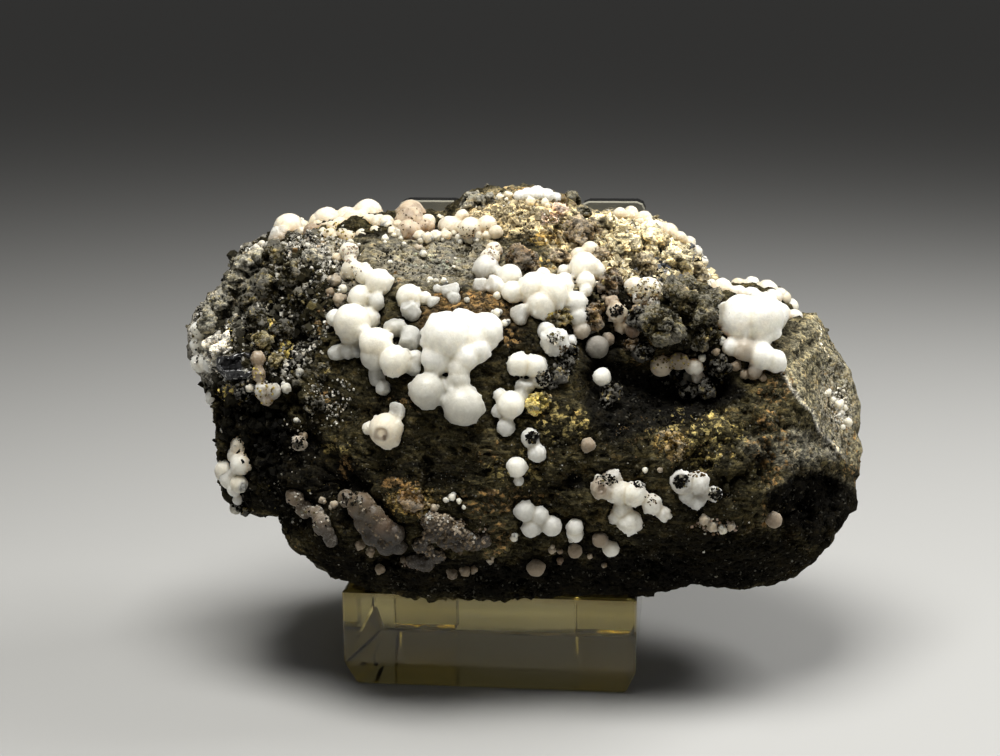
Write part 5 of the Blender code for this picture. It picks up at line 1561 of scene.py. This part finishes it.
def add_fringe(heap, beads, rows, tree, amount):
    """Small crystals along the foot of each bead, where it meets the rock."""
    rng = random.Random(int(rows[0][0] * 7 + rows[0][1]))
    for (centre, size), row in zip(beads, rows):
        near, _, _, _ = tree.find_nearest(centre)
        foot = (near - centre).normalized() if near is not None else -FORWARD
        for _ in range(int((5 + row[2] * 0.75) * amount)):
            way = Vector((rng.gauss(0, 1), rng.gauss(0, 1), rng.gauss(0, 1))).normalized()
            lean = rng.uniform(-0.55, 0.35) if amount > 1.5 else rng.uniform(-0.15, 0.45)
            way = (way - foot * way.dot(foot)).normalized() * math.sqrt(max(0.0, 1.0 - lean * lean)) + foot * lean
            small = max(0.00024, size * rng.uniform(0.13, 0.26))
            add_bead(heap, centre + way * (size * rng.uniform(0.90, 1.0)), small, way * 9.0 + centre * 500.0, True, 1)


def remeshed(name, heap, voxel, rounds=0):
    mesh = heap.mesh(name)
    obj = bpy.data.objects.new(name, mesh)
    bpy.context.scene.collection.objects.link(obj)
    mod = obj.modifiers.new("Remesh", "REMESH")
    mod.mode = "VOXEL"
    mod.voxel_size = voxel
    mod.adaptivity = 0.0
    if rounds:
        soft = obj.modifiers.new("Smooth", "SMOOTH")
        soft.factor = 0.5
        soft.iterations = rounds
    graph = bpy.context.evaluated_depsgraph_get()
    made = bpy.data.meshes.new_from_object(obj.evaluated_get(graph))
    obj.modifiers.clear()
    obj.data = made
    bpy.data.meshes.remove(mesh)
    return obj


def make_calcite(name, rows, tree, mat):
    beads = [seat_bead(tree, *row) for row in rows]
    heap = Heap()
    for (centre, size), row in zip(beads, rows):
        seed = Vector((row[0] * 0.37, row[1] * 0.23, row[2]))
        add_bead(heap, centre, size, seed, (row[0], row[1]) in ANGULAR)
    for centre, size in necks(beads):
        add_bead(heap, centre, size * 0.80, centre * 300.0, False)
        if "skyline" in name or "back" in name or name == "calcite_right_mass":
            for k in range(4):
                side = noise.noise_vector(centre * 900.0 + Vector((k * 3.1, 1.0, 2.0))) * 0.0022
                near, normal, _, _ = tree.find_nearest(centre + side)
                small = 0.0005 + 0.0005 * abs(noise.noise(centre * 700.0 + Vector((0, k * 2.7, 0)))) * 2.0
                add_bead(heap, near + normal * small * 0.2, small, centre * 300.0 + Vector((k, 0, 0)), False, 3)
    if name not in SMOOTH_BEADS:
        add_fringe(heap, beads, rows, tree, 2.2 if name in ROUGH or name.startswith("calcite_back") else 1.0)
    rounds = 8 if name in MERGED else 1
    obj = remeshed(name + "_beads", heap, 0.00040 if rows[0][-1] == 1 and len(rows[0]) == 5 else VOXEL, rounds)
    mesh = obj.data
    co = points_of(mesh)
    centres = np.array([c for c, _ in beads])
    sizes = np.array([s for _, s in beads])
    gap = np.linalg.norm(co[:, None, :] - centres[None], axis=2) - sizes[None]
    order = np.argsort(gap, axis=1)
    own = order[:, 0]
    rows_index = np.arange(len(co))
    if len(beads) > 1:
        # crease: nearness to the seam between two beads, where the material paints shade
        second = gap[rows_index, order[:, 1]] - gap[rows_index, own]
        crease = np.exp(-np.maximum(0.0, second) / 0.00016) * (0.35 if name in MERGED else 1.0)
    else:
        crease = np.zeros(len(co))
    default = GROUP_TONE.get(name, "white")
    tones = np.array([tone(BEAD_TONE.get((r[0], r[1]), default)) for r in rows])
    # tones run a little into the neighbours
    weight = np.exp(-(gap - gap.min(axis=1)[:, None]) / 0.00045)
    weight /= weight.sum(axis=1)[:, None]
    tint = weight @ tones
    normals = normals_of(mesh)
    across, down, _ = sheet_of(co)
    facing = -(normals @ np.array(FORWARD))
    moved = co.copy()
    foot = np.zeros(len(co))
    glassy = np.zeros(len(co))
    patchy = np.zeros(len(co))
    rough = name in ROUGH or name.startswith("calcite_back")
    for i, (p, n) in enumerate(zip(co, normals)):
        q = Vector(p) * 1000.0
        row = rows[own[i]]
        sharp = (row[0], row[1]) in ANGULAR
        near = tree.find_nearest(p)[3]
        foot[i] = math.exp(-max(0.0, near - 0.0004) / 0.0009)
        glassy[i] = 1.0 if sharp else 0.0
        patchy[i] = smooth(0.05, 0.35, noise.noise(q / 1.5) + 0.4 * noise.noise(q / 0.5))
        rise = noise.noise(q / 1.8) * 0.06 + facet(q, 1.6, 0.06)
        # scaly skin, rougher towards the foot
        rim = 0.20 + 1.0 * foot[i] + (0.5 if rough else 0.0)
        cell = noise.voronoi(q / 0.58)[0]
        rise += (0.40 - cell[0]) * 0.20 * rim + facet(q, 0.60, 0.35) * rim * 0.6
        if rough:
            rise += facet(q, 1.1, 0.40)
        if sharp:
            rise = facet(q, 1.8, 0.12)
        moved[i] = p + n * (rise * MM)
    share, colour = WARM_FEET.get(name, (0.12, "cream"))
    w = (foot ** 1.5 * share)[:, None]
    tint = tint * (1 - w) + tint * tone(colour) / tone(colour).max() * w
    if name in MOTTLED:
        colour, share = MOTTLED[name]
        w = (patchy * share)[:, None]
        tint = tint * (1 - w) + tone(colour) * w
    # painted shade: the lower band, pink crust and lower left row darken towards the bottom, under the overhang
    if name in ("calcite_lower_band", "calcite_pink_crust", "calcite_lower_left_row"):
        tint = tint * (0.28 + 0.82 * smooth_array(548.0, 502.0, down + 8.0 * patchy))[:, None]
    for group, x, y, radius, depth, rim_tone, floor_tone in CRATERS:
        if group != name:
            continue
        d = np.hypot(across - x, down - y) / radius
        wobble = np.array([noise.noise(Vector(p) * 900.0) for p in co]) * 0.25
        d = d + wobble
        inside = smooth_array(1.0, 0.55, d) * smooth_array(0.1, 0.5, facing)
        lip = np.exp(-((d - 1.05) / 0.22) ** 2) * smooth_array(0.1, 0.5, facing)
        moved -= normals * (inside * depth * MM)[:, None]
        moved += normals * (lip * 0.10 * MM)[:, None]
        w = (np.exp(-((d - 0.85) / 0.28) ** 2) * smooth_array(0.0, 0.4, facing) * 0.85)[:, None]
        tint = tint * (1 - inside[:, None] * 0.8) + tone(floor_tone) * inside[:, None] * 0.8
        tint = tint * (1 - w) + tone(rim_tone) * w
    mesh.vertices.foreach_set("co", moved.astype(np.float32).ravel())
    mesh.update()
    put_colour(mesh, "tint", tint)
    put_value(mesh, "crease", crease)
    put_value(mesh, "foot", np.clip(foot, 0.0, 1.0))
    put_value(mesh, "glassy", glassy)
    mesh.materials.clear()
    mesh.materials.append(mat)
    mesh.shade_smooth()
    return obj


def make_specks(tree, mat):
    """Small white growths and single beads under about 1 mm."""
    heap = Heap()
    tints = []
    rng = random.Random(5)
    for across, down, radius, name in SPECKS:
        smooth_skin = radius >= 6.5
        lumps = 1 if radius < 3.2 or smooth_skin else rng.randint(2, 4)
        for k in range(lumps):
            a, b, r = across, down, radius
            if k:
                turn = rng.uniform(0, 2 * math.pi)
                a, b, r = across + radius * 0.8 * math.cos(turn), down + radius * 0.8 * math.sin(turn), radius * rng.uniform(0.35, 0.70)
            centre, size = seat_bead(tree, a, b, r, 0.60 if smooth_skin else 0.30)
            seed = Vector((a, b, k * 2.3))
            colour = tone(name) * rng.uniform(0.88, 1.04) * np.array([1.0, 0.975, 0.92])

            def place(way):
                tints.append(colour)
                if smooth_skin:
                    grow = 1.0 + 0.08 * noise.noise(way * 1.3 + seed) + facet(way + seed, 0.5, 0.10)
                else:
                    grow = 1.0 + 0.20 * noise.noise(way * 1.5 + seed) + facet(way + seed, 0.7, 0.55)
                return centre + way * (size * grow)

            heap.add(4 if smooth_skin else 3 if r >= 5.0 else 2, place)
    mesh = heap.mesh("calcite_specks")
    mesh.shade_smooth()
    mesh.materials.append(mat)
    obj = bpy.data.objects.new("calcite_specks", mesh)
    bpy.context.scene.collection.objects.link(obj)
    put_colour(mesh, "tint", np.array(tints))
    put_value(mesh, "crease", np.zeros(len(tints)))
    put_value(mesh, "foot", np.full(len(tints), 0.3))
    return obj


def make_crystal(tree, mat):
    """The black glassy crystal: a hollowed face of broken planes in a thin pale rim."""
    across, down, radius = DARK_CRYSTAL
    centre, size = seat_bead(tree, across + 2, down + 1, radius, 0.15)
    ways, faces = ball(6)
    verts, frost = [], []
    for way in ways:
        a, b, c = way.dot(RIGHT), way.dot(UP), -way.dot(FORWARD)
        angle = math.atan2(b, a)
        ragged = noise.noise(Vector((math.cos(angle) * 1.6, math.sin(angle) * 1.6, 4.0)))
        k = 1.0 + 0.24 * ragged + facet(way, 0.9, 0.55)
        r = math.hypot(a, b)
        rim = 0.84 + 0.10 * noise.noise(Vector((math.cos(angle) * 3.0, math.sin(angle) * 3.0, 9.0)))
        bowl = smooth(rim, rim - 0.42, r) * smooth(0.0, 0.3, c) * (1.0 if b > -0.25 else 0.35)
        step = facet(way * 1.0 + Vector((3.0, 1.0, 2.0)), 0.42, 0.9)
        out = c * 0.85 - bowl * 0.62 + step * 0.35
        verts.append(centre + (RIGHT * (a * 1.22 * k) + UP * (b * 0.82 * k) - FORWARD * out) * size)
        line = math.exp(-((r - rim) / 0.045) ** 2) * smooth(-0.1, 0.15, c)
        lower = smooth(-0.30, -0.50, b) * smooth(-0.6, 0.4, a) * smooth(0.9, 0.5, r)
        worn = 0.45 + 0.55 * smooth(-0.15, 0.25, noise.noise(way * 3.1 + Vector((2.0, 7.0, 1.0))))
        frost.append(min(1.0, 0.80 * line * worn + 0.60 * lower))
    mesh = bpy.data.meshes.new("dark_crystal")
    mesh.from_pydata(verts, [], faces)
    mesh.shade_smooth()
    mesh.materials.append(mat)
    obj = bpy.data.objects.new("dark_crystal", mesh)
    bpy.context.scene.collection.objects.link(obj)
    put_value(mesh, "frost", frost)
    return obj


# ------------------------------------------------------------ build
def build():
    rock_look = rock_material("matrix_rock_look")
    grain_look = grain_material("crust_grain_look")
    looks = {
        "calcite_white": calcite_material("calcite_white_look"),
        "calcite_cream": calcite_material("calcite_cream_look", 0.32, 0.60, 1.25),
        "calcite_tan": calcite_material("calcite_tan_look", 0.42, 0.72, 1.5, 0.0024),
    }
    slots = {s["node"]: s["material_slot"] for s in frame["record"]["subparts"]}

    tree = tree_of(frame["nodes"]["basalt_matrix"].data)
    beads = [seat_bead(tree, *row) for rows in BEADS.values() for row in rows]
    rock = make_matrix(rock_look, beads)
    fine_tree = tree_of(rock.data)
    nubs = make_nubs(tree, rock_look)
    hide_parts("basalt_matrix")
    pieces = [rock, nubs]
    for piece in make_grains(fine_tree, grain_look):
        pieces.append(piece)

    grown = {}
    for name, rows in BEADS.items():
        slot = slots.get(name, "calcite_white")
        piece = grown[name] = make_calcite(name, rows, tree, looks[slot])
        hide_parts(name)
        pieces.append(piece)
    crumbs = make_crumbs(grown, grain_look)
    pieces.append(crumbs)
    specks = make_specks(fine_tree, calcite_material("calcite_speck_look", 0.30, 0.58, 1.2, 0.0011))
    pieces.append(specks)

    crystal = make_crystal(tree, crystal_material("dark_crystal_look"))
    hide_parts("dark_glassy_crystal")
    pieces.append(crystal)

    clear = acrylic_material("clear_acrylic_look")
    for name in ("stand_block", "stand_prong_left", "stand_prong_right"):
        mesh = frame["nodes"][name].data
        for i in range(len(mesh.materials)):
            mesh.materials[i] = clear
        if not len(mesh.materials):
            mesh.materials.append(clear)
    for piece in pieces:
        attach(piece, "root")


def stage():
    g = Graph("pale_floor")
    g.set(Base_Color=(0.44, 0.44, 0.43), Roughness=0.70)
    size = 40.0
    floor = object_from("floor", [(-size, -size, 0), (size, -size, 0), (size, size, 0), (-size, size, 0)], [(0, 1, 2, 3)], g.mat, False)
    floor.location.z = -0.00005

    def softbox(name, place, target, width, height, power, colour):
        data = bpy.data.lights.new(name, "AREA")
        data.shape = "RECTANGLE"
        data.size, data.size_y = width, height
        data.energy = power
        data.color = colour
        lamp = bpy.data.objects.new(name, data)
        lamp.location = place
        lamp.rotation_euler = (Vector(target) - Vector(place)).to_track_quat("-Z", "Y").to_euler()
        bpy.context.scene.collection.objects.link(lamp)

    softbox("key", (-0.02, -0.12, 0.44), (0.0, -0.01, 0.06), 0.24, 0.16, 2.5, (1.0, 0.985, 0.95))
    softbox("right_top", (0.30, 0.10, 0.36), (0.02, 0.0, 0.06), 0.22, 0.18, 1.45, (1.0, 0.99, 0.97))
    softbox("fill", (0.35, -0.60, 0.34), (0.0, 0.0, 0.05), 0.50, 0.40, 0.28, (1.0, 0.99, 0.97))

    world = bpy.data.worlds.new("studio")
    bpy.context.scene.world = world
    world.use_nodes = True
    world.node_tree.nodes["Background"].inputs["Color"].default_value = (1.0, 0.99, 0.97, 1.0)
    world.node_tree.nodes["Background"].inputs["Strength"].default_value = 0.06

    data = bpy.data.cameras.new("camera")
    data.sensor_width = 36.0
    data.lens = 36.0 * FOCUS / 1000.0
    data.clip_start = 0.01
    data.clip_end = 50.0
    camera = bpy.data.objects.new("camera", data)
    turn = Matrix((RIGHT, UP, -FORWARD)).transposed().to_4x4()
    camera.matrix_world = Matrix.Translation(EYE) @ turn
    bpy.context.scene.collection.objects.link(camera)
    bpy.context.scene.camera = camera
    bpy.context.scene.view_settings.view_transform = "Standard"


build()
stage()
bpy.context.view_layer.update()
